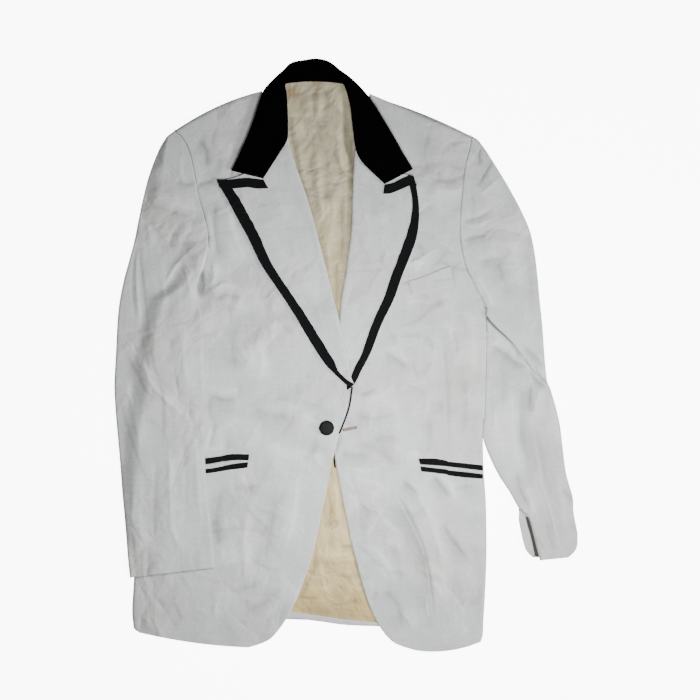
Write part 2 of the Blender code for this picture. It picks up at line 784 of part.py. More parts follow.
def buttonhole(name, material, collection):
    (x_start, y_start), (x_end, y_end) = BUTTONHOLE
    half = BUTTONHOLE_WIDTH / 2
    rows = ((x_start, y_start - half, x_start, y_start + half), (x_end, y_end - half, x_end, y_end + half))
    seat = max(front_top(FRONT_LEFT, x, y) for x, y in BUTTONHOLE) + LAYER_GAP
    return strip(name, rows, on_table(seat + BRAID_WALL), BRAID_WALL, material, collection)


def on_front(panel, wall):
    """Height rule for a strip that lies on a front."""
    return lambda x, y: front_top(panel, x, y) + LAYER_GAP + wall


def on_lapel(panel, wall):
    """Height rule for a strip that lies on a lapel."""
    return lambda x, y: front_top(panel, x, y) + LAPEL_LIFT + LAPEL_WALL + 1.5 * LAYER_GAP + wall


def strip(name, rows, top, wall, material, collection):
    """Narrow slab on a height rule, one cell wide."""
    return slab(name, rows, places(rows, 0), 1, top, wall, material, collection)


def new_material(name, colour, roughness):
    material = bpy.data.materials.new(name)
    material.use_nodes = True
    shader = material.node_tree.nodes["Principled BSDF"]
    shader.inputs["Base Color"].default_value = (*colour, 1.0)
    shader.inputs["Roughness"].default_value = roughness
    shader.inputs["Metallic"].default_value = 0.0
    return material


def build():
    for old in list(bpy.data.objects):
        bpy.data.objects.remove(old, do_unlink=True)
    jacket = bpy.data.collections.new("tuxedo_jacket")
    bpy.context.scene.collection.children.link(jacket)
    cloth = new_material("white wool cloth", (0.56, 0.58, 0.58), 0.9)
    velvet = new_material("black velvet", (0.004, 0.004, 0.004), 0.95)
    braid = new_material("black ribbed braid", (0.012, 0.013, 0.015), 0.7)
    satin = new_material("cream satin lining", (0.55, 0.50, 0.36), 0.45)
    covered = new_material("black covered button", (0.018, 0.02, 0.02), 0.6)
    thread = new_material("tan buttonhole twist", (0.45, 0.33, 0.25), 0.8)
    twill = new_material("dark grey vent twill", (0.10, 0.10, 0.09), 0.85)

    slab("back_right", BACK_RIGHT, places(BACK_RIGHT, 7), 6, back_top, BACK_WALL, cloth, jacket)
    slab("back_left", BACK_LEFT, places(BACK_LEFT, 7), 6, back_top, BACK_WALL, cloth, jacket)
    slab("side_panel_right", SIDE_RIGHT, places(SIDE_RIGHT, 0), 1, back_top, BACK_WALL, cloth, jacket)
    slab("side_panel_left", SIDE_LEFT, places(SIDE_LEFT, 0), 1, back_top, BACK_WALL, cloth, jacket)
    slab("back_lining", LINING, places(LINING, 2), 5, lining_top, LINING_WALL, satin, jacket)
    strip("back_hem", BACK_HEM, lining_top, LINING_WALL, cloth, jacket)

    front("front_right", FRONT_RIGHT, cloth, jacket)
    front("front_left", FRONT_LEFT, cloth, jacket)
    for side, rows, panel in (("right", LAPEL_RIGHT, FRONT_RIGHT), ("left", LAPEL_LEFT, FRONT_LEFT)):
        lapel(f"lapel_{side}", rows, panel, cloth, jacket)
        lapel_braid(f"lapel_braid_{side}", rows, panel, braid, jacket)
    for side, rows, panel in (("right", TOP_BRAID_RIGHT, FRONT_RIGHT), ("left", TOP_BRAID_LEFT, FRONT_LEFT)):
        strip(f"gorge_braid_{side}", rows, on_lapel(panel, BRAID_WALL), BRAID_WALL, braid, jacket)
    edging("edge_braid_right", EDGE_BRAID_RIGHT, FRONT_RIGHT, 1, braid, jacket)
    edging("edge_braid_left", EDGE_BRAID_LEFT, FRONT_LEFT, -1, braid, jacket)

    collar("collar", COLLAR, velvet, jacket)
    strip("collar_fall", COLLAR_FALL, on_table(FALL_WALL), FALL_WALL, velvet, jacket)

    sleeve_top("sleeve_right_top", SLEEVE_RIGHT, sleeve_rest, 7, cloth, jacket)
    sleeve_under("sleeve_right_under", SLEEVE_RIGHT, sleeve_rest, 7, cloth, jacket)
    sleeve_top("sleeve_left_top", SLEEVE_LEFT, on_table(0.0), 9, cloth, jacket)
    sleeve_under("sleeve_left_under", SLEEVE_LEFT_UNDER, on_table(0.0), 9, cloth, jacket)
    strip("cuff_vent_flap", VENT_FLAP, on_table(FRONT_FOOT + SLEEVE_WALL), SLEEVE_WALL, cloth, jacket)
    strip("cuff_vent_lining", VENT_LINING, on_table(VENT_LINING_TOP), VENT_LINING_WALL, twill, jacket)

    hips = (
        ("right", HIP_BRAIDS_RIGHT, HIP_JET_RIGHT, FRONT_RIGHT),
        ("left", HIP_BRAIDS_LEFT, HIP_JET_LEFT, FRONT_LEFT),
    )
    for side, strips, jet, panel in hips:
        for level, rows in strips.items():
            strip(f"hip_braid_{level}_{side}", rows, on_front(panel, BRAID_WALL), BRAID_WALL, braid, jacket)
        strip(f"hip_jet_{side}", jet, on_front(panel, BRAID_WALL), BRAID_WALL, cloth, jacket)
    strip("chest_welt", CHEST_WELT, on_front(FRONT_LEFT, WELT_WALL), WELT_WALL, cloth, jacket)

    button("front_button", covered, jacket)
    buttonhole("buttonhole", thread, jacket)


build()
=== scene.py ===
import math

import bmesh
import bpy
import numpy as np
from mathutils import Matrix, Vector


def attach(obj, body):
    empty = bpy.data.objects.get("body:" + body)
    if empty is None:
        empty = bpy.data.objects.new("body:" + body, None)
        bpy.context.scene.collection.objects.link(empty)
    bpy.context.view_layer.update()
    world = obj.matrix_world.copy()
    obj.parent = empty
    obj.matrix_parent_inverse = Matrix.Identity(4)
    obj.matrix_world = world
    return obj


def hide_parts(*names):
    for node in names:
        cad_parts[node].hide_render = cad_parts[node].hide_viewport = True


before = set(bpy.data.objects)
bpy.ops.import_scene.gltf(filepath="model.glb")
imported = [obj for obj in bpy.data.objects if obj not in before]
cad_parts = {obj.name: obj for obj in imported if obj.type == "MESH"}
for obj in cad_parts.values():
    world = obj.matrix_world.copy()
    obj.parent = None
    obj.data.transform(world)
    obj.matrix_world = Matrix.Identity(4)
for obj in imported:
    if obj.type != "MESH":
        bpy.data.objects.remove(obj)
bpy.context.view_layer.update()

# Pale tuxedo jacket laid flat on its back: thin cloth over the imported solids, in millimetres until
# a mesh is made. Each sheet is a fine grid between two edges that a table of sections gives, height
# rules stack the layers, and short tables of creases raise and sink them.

MM = 0.001

# Cloth walls and gaps, millimetres
SEAM = 0.5
LAYER_GAP = 0.3
LINING_GAP = 0.5
BACK_WALL = 1.6
LINING_WALL = 1.0
FRONT_WALL = 2.4
SLEEVE_WALL = 1.6
LAPEL_WALL = 1.8
BRAID_WALL = 0.8
WELT_WALL = 1.2

# Heights above the resting surface, and how far each rise and fold reaches, millimetres; the hem
# and neck values are shares
FRONT_FOOT = BACK_WALL + 2 * LAYER_GAP
FREE_TOP = 5.9
BODY_TOP = 7.8
FREE_REACH = 70.0
SIDE_FOLD = 6.0
ROLL_RETURN = 1.5
SLEEVE_FOLD = 5.0
SLEEVE_FOLD_MOST = 0.3  # of a sleeve's least width
SLEEVE_REST = 9.4
SLEEVE_RAMP = 33.0
SLEEVE_SHELF = 6.0
SLEEVE_FOOT = 2.3
PAD_HEIGHT = 4.0
PAD_REACH = 110.0
LAPEL_LIFT = 0.7
NECK_RISE = 2.2
NECK_SQUASH = 1.3
COLLAR_ROUND = 3.0
COLLAR_DROP = 1.4
EDGE_BRAID_LIFT = 0.4
HEM_FLATTENS = 0.8

# Share of a sleeve's width over which it swells
SLEEVE_SWELL = 0.4

# Rows of the tables where a front's side begins to round, the armholes end, the left cuff's seam is
# open, the elbow laps, and the collar is folded down behind the neck
FRONT_ROUNDS_FROM = 7
FRONT_ROUNDS_OVER = 2
ARMHOLE_RIGHT = 7
ARMHOLE_LEFT = 9
VENT_ROW = 18
ELBOW_ROW = 10
NECK_ROWS = (6, 16)

# Named places, millimetres
SHOULDER_RIGHT = (-241.0, 314.0)
SHOULDER_LEFT = (176.0, 307.0)
NECK_CENTRE = (-43.0, 392.0)
NECK_FLAT = 64.0
NECK_RAMP = 42.0
HEM_START = -330.0
HEM_REACH = 50.0
ARMPIT_START = 161.0
ARMPIT_REACH = 30.0

# Where the right sleeve covers its front, and where the left one nearly touches the body, millimetres
COVERED_START = ARMPIT_START - 20
COVERED_REACH = 20.0
COVERED_INSIDE = 6.0
COVERED_FADE = 8.0
BESIDE_GAP = 0.15
BESIDE_REACH = 2.5

# Button and buttonhole, millimetres
BUTTON_CENTRE = (-27.0, -102.0)
BUTTON_RADIUS = 10.5
BUTTON_HEIGHT = 4.0
BUTTONHOLE = ((-4.0, -105.2), (14.5, -101.4))

# How far the wearer's right front is raised where it crosses the left one
CLOSURE_REACH = 62.0
CLOSURE = (
    # y, lift
    (85.0, 0.0),
    (55.0, 7.4),
    (-62.0, 7.4),
    (-78.0, 5.6),
    (-135.0, 5.6),
    (-180.0, 0.0),
)

# Steps of the sheets' grids, millimetres
STEP = 2.6
FRONT_STEPS = {"right_front": 2.2, "left_front": 1.96}
SLEEVE_STEP = 1.88
LAPEL_STEP = 1.86
STRIP_STEP = 1.6
BACK_STEP = 5.0
LINING_STEP = 2.0
UNDER_STEP = STEP * 1.6

# Walls, folds, tucks and roundings of the finished sheets, millimetres and degrees
EDGE_START = 0.3
SEAM_ROUND = 1.5
SEAM_FALL = 2.4
SEAM_TUCK = 0.4
SIDE_TUCK = 16.0
SEAM_ALLOWANCE = 3.0
SLEEVE_TUCK = 12.0
SLEEVE_TUCK_MOST = 0.4  # of a sleeve's least width
LEAST_SLEEVE = 3.1
CLOTH_WALL = 1.4
FRONT_CLOTH = 1.8
LINING_CLOTH = LINING_WALL * 0.6
BRAID_CLOTH = BRAID_WALL - 0.1
JET_WALL = BRAID_WALL - 0.3
WELT_CLOTH = WELT_WALL - 0.2
# Wall and lift of the dark sheet that is painted shade in the cuff vent's slot
VENT_SHADE_WALL = 0.8
VENT_SHADE_LIFT = 0.4
PRESSED_ROUND = 2.2
PRESSED_FALL = 1.7
FOLD_ANGLES = (-90, -68, -45, -22, 0, 22, 45, 68, 90)
TUCK_SHARES = (1.0, 0.5)
NEAR_EDGE = (0.0, 0.35, 0.9, 1.6, 2.6, 4.0)
LAPEL_START = 0.25

# Cut edges: insets of the finest columns, and how far in and how deep an edge is rounded
PANEL_NEAR = (0.3, 0.8, 1.6)
PANEL_EDGE = (1.2, 0.8)
NARROW = 5.0
STRIP_NEAR = (0.15, 0.6, 1.2)
STRIP_NEAR_NARROW = (0.1, 0.35, 0.7)
STRIP_EDGE = (0.9, 0.45)
BRAID_ENDS = (0.0, 0.5, 1.0)
BRAID_NEAR = ((0.1, 0.5, 1.1), (0.0, 0.5, 1.1))
BRAID_EDGE = (1.1, 0.5)

# Creases: gain, steps between two points, reach and fading ends of one, then the ranges of length,
# bend, sharp side, soft side and height of the small ones
CREASE_GAIN = 1.7
CREASE_STEPS = 8
CREASE_REACH = 2.6
CREASE_ENDS = 0.3
SMALL_LONG = (9, 34)
SMALL_BEND = 0.22
SMALL_SHARP = (1.5, 2.6)
SMALL_SOFT = (4, 11)
SMALL_HIGH = (0.15, 0.5)

# Unrest of the cloth: number of waves and their range of lengths, then height, size and seed
RUMPLE_WAVES = 7
RUMPLE_LENGTHS = (0.6, 1.7)
FRONT_RIGHT_UNREST = ((0.22, 60, 11), (0.07, 17, 13))
FRONT_LEFT_UNREST = ((0.22, 60, 12), (0.07, 17, 14))
SLEEVE_RIGHT_UNREST = ((0.25, 55, 16), (0.07, 16, 17))
SLEEVE_LEFT_UNREST = ((0.25, 55, 15), (0.07, 16, 16))
COLLAR_UNREST = ((0.12, 40, 21),)
LINING_UNREST = ((0.35, 38, 31), (0.1, 15, 32))
HEM_UNREST = ((0.12, 30, 33),)
VENT_UNREST = ((0.3, 30, 41),)

FRONT_RIGHT = (
    # side x, side y, edge x, edge y, bow, setback
    (-241, 314, -118, 370, 7, 0),
    (-230, 305, -112, 351, 4, 0),
    (-220, 287, -108, 326, 1, 0),
    (-213, 259, -88, 300, 0, 4),
    (-207, 224, -69, 263, 0, 7.5),
    (-196, 185, -52, 210, 0, 7.5),
    (-193, 157, -41, 171, 0, 7.5),
    (-200, 125, -31, 129, 0, 7.5),
    (-218, 98, -20, 94, 0, 7.5),
    (-246, 77, -13, 60, 0, 7.5),
    (-256, 42, -5, 28, 0, 7.5),
    (-263, 0, 4, -7, 0, 7.5),
    (-269, -42, 6, -46, 0, 5),
    (-274, -80, 1, -78, 0, 0),
    (-280, -119, -11, -111, 0, 0),
    (-284, -161, -21, -161, 0, 0),
    (-290, -217, -34, -221, 0, 0),
    (-295, -273, -46, -277, 0, 0),
    (-298, -322, -62, -325, 0, 0),
    (-300, -357, -77, -358, 0, 0),
    (-299, -374, -91, -381, 0, 0),
    (-297, -384, -109, -400, -1, 0),
    (-290, -389, -136, -410, -4, 0),
)

FRONT_LEFT = (
    # side x, side y, edge x, edge y, bow, setback
    (176, 307, 32, 367, 0, 0),
    (174, 293, 35, 349, 0, 0),
    (169, 273, 36, 326, 0, 0),
    (165, 249, 25, 300, 0, 4),
    (162, 217, 11, 266, 0, 7.5),
    (160, 186, 8, 217, 0, 7.5),
    (161, 157, 7, 172, 0, 7.5),
    (169, 122, 1, 130, 0, 7.5),
    (182, 97, -6, 91, 0, 7.5),
    (196, 69, -8, 46, 0, 7.5),
    (197, 42, -11, 14, 0, 7.5),
    (196, 7, -14, -14, 0, 7.5),
    (195, -35, -18, -46, 0, 9),
    (193.4, -77, -21, -77, 0, 0),
    (192, -119, -21, -108, 0, 0),
    (193, -161, -16, -140, 0, 0),
    (196, -203, -7, -192, 0, 0),
    (197, -245, 5, -252, 0, 0),
    (197, -287, 18, -304, 0, 0),
    (195, -336, 31, -347, 0, 0),
    (193, -371, 46, -379, 0, 0),
    (192, -392, 67, -403, -3, 0),
    (189, -402, 97, -414, -6.6, 0),
)

BACK_RIGHT = (
    # side x, side y, centre x, centre y, bow
    (-241, 314, -46, 379, 11),
    (-230, 305, -47, 361, 7),
    (-220, 287, -48, 336, 3),
    (-213, 259, -48, 301, 0),
    (-207, 224, -48, 259, 0),
    (-196, 185, -49, 210, 0),
    (-193, 157, -49, 168, 0),
    (-200, 125, -50, 126, 0),
    (-199, 77, -50, 77, 0),
    (-195, -7, -51, -7, 0),
    (-197, -105, -52, -105, 0),
    (-209, -217, -52, -217, 0),
    (-218, -315, -53, -315, 0),
    (-224, -365, -53, -372, 0),
)

BACK_LEFT = (
    # side x, side y, centre x, centre y, bow
    (176, 307, -46, 379, 11),
    (174, 293, -47, 361, 7),
    (169, 273, -48, 336, 3),
    (165, 249, -48, 301, 0),
    (162, 217, -48, 259, 0),
    (160, 186, -49, 210, 0),
    (160.2, 157, -49, 168, 0),
    (166, 124, -50, 126, 0),
    (153, 77, -50, 77, 0),
    (139, -7, -51, -7, 0),
    (136, -105, -52, -105, 0),
    (140, -217, -52, -217, 0),
    (144, -315, -53, -315, 0),
    (146, -382, -53, -372, -4),
)

SIDE_RIGHT = (
    # fold x, fold y, seam x, seam y, bow
    (-246, 77, -199, 77, 0),
    (-263, 0, -195, -7, 0),
    (-277, -98, -197, -105, 0),
    (-290, -217, -209, -217, 0),
    (-298, -315, -218, -315, 0),
    (-298, -374, -224, -365, 0),
)

SIDE_LEFT = (
    # fold x, fold y, seam x, seam y, bow
    (196, 69, 153, 77, 0),
    (196, -7, 139, -7, 0),
    (192, -105, 136, -105, 0),
    (197, -217, 140, -217, 0),
    (196, -315, 144, -315, 0),
    (192, -392, 146, -382, 0),
)

LINING = (
    # left x, left y, right x, right y, bow
    (-84.5, 380.5, 0, 379.5, 3.4),
    (-109, 343, 28, 343, 0),
    (-104, 301, 36, 301, 0),
    (-92, 259, 31, 259, 0),
    (-83, 210, 28, 210, 0),
    (-64, 147, 28, 147, 0),
    (-48, 77, 20, 77, 0),
    (-39, 7, 20, 7, 0),
    (-39, -63, 17, -63, 0),
    (-43, -133, 17, -133, 0),
    (-60, -203, 22, -203, 0),
    (-76, -273, 39, -273, 0),
    (-95, -329, 56, -329, 0),
    (-118, -353, 73, -378, -3),
)

SLEEVE_RIGHT = (
    # outer x, outer y, inner x, inner y, outer top, inner top
    (-251, 307, -241, 314, 7, 12),
    (-263, 287, -230, 305, 6.5, 12),
    (-276, 253, -220, 287, 6.5, 11),
    (-284, 223, -213, 259, 6.5, 10),
    (-291, 190, -207, 224, 6.5, 9),
    (-297, 160, -196, 185, 6.5, 8),
    (-305, 130, -193, 157, 6.5, 8),
    (-312, 104, -200, 125, 6.5, 7),
    (-318, 73, -208, 94, 6.5, 6.5),
    (-321, 42, -202, 62, 6.5, 6.5),
    (-323, 0, -199, 14, 6.5, 6.5),
    (-325, -42, -199, -35, 6.5, 6.5),
    (-323, -84, -199, -84, 6.5, 6.5),
    (-318, -139, -197, -140, 6.5, 6.5),
    (-314, -189, -195, -188, 6.5, 6.5),
    (-309, -238, -189, -234, 6.5, 6.5),
    (-305, -283, -185, -273, 6.5, 6.5),
    (-302, -311, -183, -297, 6.5, 6.5),
)

SLEEVE_LEFT = (
    # outer x, outer y, inner x, inner y, outer top, inner top
    (185, 302, 176, 307, 7, 12),
    (197, 286, 174, 293, 6.5, 12),
    (214, 259, 169, 273, 6.5, 11),
    (230, 232, 165, 249, 6.5, 10),
    (245, 204, 162, 217, 6.5, 9),
    (258, 174, 160, 186, 6.5, 8),
    (265, 141, 161, 157, 6.5, 8),
    (269, 108, 169, 122, 6.5, 8),
    (272, 74, 182, 97, 6.5, 9),
    (276, 35, 196, 69, 6.5, 11),
    (281, -43, 197.6, 63, 7, 12),
    (283, -49, 197.8, 57, 6.5, 6),
    (287, -53, 197.6, 35, 6.5, 6.5),
    (291, -62, 196.7, 4, 6.5, 6.5),
    (295, -76, 195.8, -35, 6.5, 6.5),
    (300, -98, 193.8, -85, 6.5, 6.5),
    (304, -130, 193.9, -117, 6.5, 6.5),
    (309, -167, 210, -161, 6.5, 6.5),
    (318, -199, 230, -193, 6.5, 6.5),
    (319, -218, 242, -214, 6.5, 6.5),
    (321, -231, 255, -227, 6.5, 6.5),
    (325, -253, 262, -249, 6.5, 6.5),
    (323, -272, 267, -269, 6.5, 6.5),
    (312, -284, 272, -288, 6.5, 6.5),
)

LAPEL_RIGHT = (
    # outer x, outer y, roll x, roll y, bow, braid
    (-181, 244, -81, 304, -14, 17),
    (-172, 228, -74, 277, -10, 17),
    (-165, 216, -67, 256, -6, 17),
    (-153, 193, -56, 225, -3, 17),
    (-137, 164, -43, 181, 0, 16),
    (-119, 127, -31, 134, 0, 15),
    (-95, 91, -20, 91, 0, 15),
    (-74, 59, -10, 52, 0, 17),
    (-52, 22, -3, 21, 0, 17),
    (-32, -9, 4, -7, 0, 15),
    (-18, -24.5, 6, -27, 0, 10),
    (5.5, -46.5, 11.5, -40.5, 0, 8.2),
)

LAPEL_LEFT = (
    # outer x, outer y, roll x, roll y, bow, braid
    (95, 250, 13, 287, -4, 9),
    (99, 232, 11, 266, -3, 10),
    (102, 210, 10, 245, -1, 10),
    (102, 186, 9, 217, 0, 12),
    (98, 161, 8, 182, 0, 15),
    (88, 134, 4, 147, 0, 15),
    (78, 109, -1, 112, 0, 15),
    (67, 78, -7, 77, 0, 15),
    (50, 43, -10, 42, 0, 14),
    (35, 4, -12, 7, 0, 12),
    (22, -21, -14, -18, 0, 11),
    (13, -39, -17, -38, 0, 9),
    (3.0, -48.5, -15.0, -48.5, 0, 6),
)

COLLAR = (
    # outer x, outer y, inner x, inner y, outer top, inner top, underside
    (-160.8, 257.8, -115.6, 246.6, 13, 13, 10.8),
    (-154, 272, -104, 265, 13, 13, 10.8),
    (-147, 287, -92, 284, 13, 13, 10.8),
    (-139, 305, -82, 302, 13, 12.5, 10.8),
    (-130, 329, -81, 329, 12.5, 12.5, 10),
    (-122, 354, -82, 353, 12, 12.5, 9.5),
    (-115, 372, -83, 367, 11, 12, 8.8),
    (-102, 387, -85, 377, 8, 10, 5.8),
    (-88, 400, -83, 380, 7.5, 7.5, 3.4),
    (-77, 410, -73, 381, 7.5, 6, 2.4),
    (-59, 414, -57, 382, 7.5, 5.5, 2.4),
    (-41, 416, -41, 383, 7.5, 5.5, 2.4),
    (-24, 412, -25, 383, 7.5, 5.5, 2.4),
    (-8, 400, -13, 382, 7.5, 6, 2.4),
    (8, 388, -4, 379, 8, 9, 5.8),
    (22, 374, 1, 367, 11, 12, 8.8),
    (38, 354, 6, 346, 12, 12.5, 9.5),
    (57, 323, 9, 321, 12.5, 12.5, 10),
    (70, 301, 13, 291, 13, 13, 10.8),
    (80, 283, 20, 273, 13, 13, 10.8),
    (88, 270, 36, 256, 13, 13, 10.8),
    (94, 260, 54, 239, 13, 13, 10.8),
)

# Hem turn-up across the back: lower x, lower y, upper x, upper y
BACK_HEM = (
    (-200, -367, -200, -353), (-130, -369, -130, -353), (-60, -371, -60, -362), (0, -379, 0, -370.5),
    (70, -381, 70, -376), (130, -380, 130, -375))

# The under sleeve is the sleeve's outline, with the lap of the cuff vent at its end
VENT_EDGE = ((242, -216), (242, -231), (246, -252), (252, -273), (262, -284))
SLEEVE_LEFT_UNDER = SLEEVE_LEFT[:19] + tuple(
    (row[0], row[1], x, y) + row[4:] for row, (x, y) in zip(SLEEVE_LEFT[19:], VENT_EDGE))

# Strips that lie on the panels, as sections of lower x, lower y, upper x, upper y
HIP_BRAIDS_RIGHT = {
    "upper": (
        (-210, -154.5, -210, -145.5), (-190.4, -152.5, -192, -143.8), (-180.2, -150.5, -186.6, -143.1),
        (-168, -148.7, -172.6, -141), (-154, -147.4, -160.6, -138.7), (-136.2, -147.7, -135.4, -138.8)),
    "lower": (
        (-210, -166.5, -210, -159.8), (-189.4, -165.2, -187.6, -158.6), (-165.2, -161.1, -159.6, -152.7),
        (-152.2, -159.6, -144.6, -150.6), (-138.2, -157.8, -136.8, -150)),
}
HIP_BRAIDS_LEFT = {
    "upper": (
        (103.9, -153.3, 101.5, -144.8), (124, -154.6, 124, -144.9), (134, -155.3, 134, -146.4),
        (139, -155.7, 139, -147.3), (141.2, -155.9, 141.2, -147.8), (142.7, -156.2, 142.7, -149),
        (145, -156.5, 145, -149.3), (150, -157.1, 150, -149.8), (167, -159.1, 167, -151.6),
        (191.7, -162, 191.7, -154.4)),
    "lower": (
        (105.4, -163, 104.2, -155.9), (124, -165.1, 124, -158), (134, -166.3, 134, -159.2),
        (139, -166.9, 139, -159.8), (141.2, -167.2, 141.2, -160), (142.7, -168.4, 142.7, -161.1),
        (145, -168.8, 145, -161.4), (150, -169.5, 150, -162), (167, -171.6, 167, -163.8),
        (191.7, -173.4, 191.7, -166.6)),
}
HIP_JET_RIGHT = (
    (-210, -159.2, -210, -155.1), (-190, -158.2, -190, -153.2), (-172, -155, -172, -149.9),
    (-160, -152.2, -160, -148.6), (-145, -150, -145, -148.2))
HIP_JET_LEFT = (
    (105.5, -155.5, 105.5, -153.9), (124, -157.5, 124, -155.1), (141, -159.4, 141, -156.5),
    (167, -163.2, 167, -159.7), (190.5, -165.9, 190.5, -162.6))
CHEST_WELT = (
    (92.5, 83.5, 88, 103.9), (103, 86, 100.1, 107.1), (118, 89.5, 115.2, 112.6), (133, 93.2, 129, 118.4),
    (143, 95.5, 138.6, 122.5), (151, 97, 146.5, 124))

# Gorge braids, which run on over the lapels' own braid to the peaks
GORGE_RIGHT = (
    (-176.5, 233.5, -180.6, 245), (-160.9, 232.6, -162.5, 245.2), (-148.7, 233.5, -151.1, 246.6),
    (-137.1, 234.4, -138.2, 247.6), (-125.4, 232.6, -127.8, 246.6), (-108.6, 233, -115.4, 245.4))
GORGE_LEFT = (
    (51.9, 225.3, 53.8, 238.3), (61.6, 225.8, 65.9, 240.7), (71.3, 229.3, 75.6, 245.8),
    (79.9, 232.8, 86.9, 250.5), (89.6, 236.7, 92.4, 250.9), (99.4, 235.9, 94.1, 250))

# Braid that peeps past the closing edges, as points down the edge
EDGE_BRAID_RIGHT = ((7.1, -44.5), (6.8, -48), (4.6, -65), (1.6, -78), (-4.5, -95), (-10.6, -110))
EDGE_BRAID_LEFT = ((-16.4, -139), (-15.2, -148), (-14, -158))
EDGE_BRAID_WIDTH = 2.6

# Lap of the cuff vent: outer x, outer y, slot x, slot y
VENT_FLAP = (
    (242, -216, 251, -226), (243, -231, 254, -238), (246, -252, 258, -252), (252, -273, 263, -273),
    (262, -284, 264, -281))

# Dark sheet in the cuff vent's slot, painted shade for the open vent's shadowed gap: slot x, slot y, sleeve
# x, sleeve y
VENT_SHADE_SHEET = (
    (251.6, -226.6, 256, -227.4), (254.6, -238.4, 260, -238.2), (258.6, -252.3, 265, -251.2),
    (263.6, -273.2, 270, -271.2), (264.8, -281.5, 274, -285.5))

# Roundings, rolls, stitches and domes of the finished pieces, millimetres and degrees
CROWN_REACH = 9.0
ROLL_ANGLES = (70, 45, 20, 0, -20, -45, -70, -90)
ROLL_SETTLE = 9.0
ROLL_SPRING = 0.7
LAPEL_ROUND = 1.6
LAPEL_FALL = 1.1
LAPEL_CLOTH = 1.5
BRAID_WAVER = 0.25
BRAID_WAVE = 21.0
BRAID_WIDEST = 0.97
BRAID_COLUMNS = 7
COLLAR_FOLD = 4.5
COLLAR_TUCK = 40.0
COLLAR_FALLS = 2.0
COLLAR_SWELL = 0.6
COLLAR_CLOTH = 1.8
LINING_CLEAR = 8.0
LINING_LOOSE = 1.4
LINING_LEAST = 0.1
HEM_CLEAR = 12.0
STITCH_PITCH = 0.8
STITCH_LONG = 2.03
STITCH_WIDE = 0.36
STITCH_HIGH = 0.35
STITCH_APART = 0.52
STITCH_OVER = 0.56
TACK_WIDE = 0.6
TACK_HIGH = 1.3
BUTTON_SQUARE = 0.55
BUTTON_DOME = 0.9
BUTTON_RIM = 0.6

# Stains on the lining: x, y, radius, strength, colour, and the height of all of them
LINING_STAINS = (
    (-76, 368, 13, 0.75, "#A07D4E"),
    (-40, 381, 12, 0.5, "#9A7E5C"),
    (-31, -361, 20, 0.7, "#B5A076"),
    (-4, -366, 22, 0.55, "#B8A57E"),
    (-50, -357, 16, 0.5, "#B39F78"),
    (-4, 255, 10, 0.35, "#8E8560"),
)
STAIN_LEVEL = 4.0

# Tones of the lining from neck to hem: share of the way down, colour
LINING_TONES = (
    (0.0, "#C4BC9E"), (0.2, "#C5BD9F"), (0.48, "#C4B383"), (0.85, "#DCC795"), (1.0, "#CDB478"))

# Camera in millimetres, world, floor in metres, and lights
CAMERA_SENSOR = 36.0
CAMERA_HEIGHT = 2500.0
CAMERA_FOCUS = 8.0
CAMERA_SPAN = 980.0
CAMERA_OVER = (5.6, 7.0)
WORLD_STRENGTH = 0.2
FLOOR_GLOW = 9.0
FLOOR_HALF = 6.0
FLOOR_LEVEL = -0.0005
LIGHTS = (
    # name, spot, aim, size, power, colour; metres and watts
    ("overhead softbox", (0.06, -0.1, 0.5), (0.04, -0.09, 0.0), 0.3, 4.05, (1.0, 1.0, 1.0)),
    ("window on the left sleeve's side", (1.8, -0.5, 0.9), (0.0, 0.0, 0.0), 0.4, 34.0, (1.0, 1.0, 1.0)),
)


def inside_tuck(rows):
    """A side body's table with its first edge moved in, past the front's cloth tucked under there."""
    inside = []
    for x_start, y_start, x_end, y_end, bow in rows:
        share = (SIDE_TUCK + SEAM) / math.hypot(x_end - x_start, y_end - y_start)
        inside.append((
            x_start + (x_end - x_start) * share, y_start + (y_end - y_start) * share, x_end, y_end, bow))
    return tuple(inside)


# Side bodies run on under the armpits, so that nothing below shows between sleeve and front
SIDE_RIGHT_UNDER = ((-236, 150, -186, 168, 0), (-240, 112, -190, 128, 0)) + inside_tuck(SIDE_RIGHT)
SIDE_LEFT_UNDER = ((196, 98, 158, 118, 0),) + inside_tuck(SIDE_LEFT)
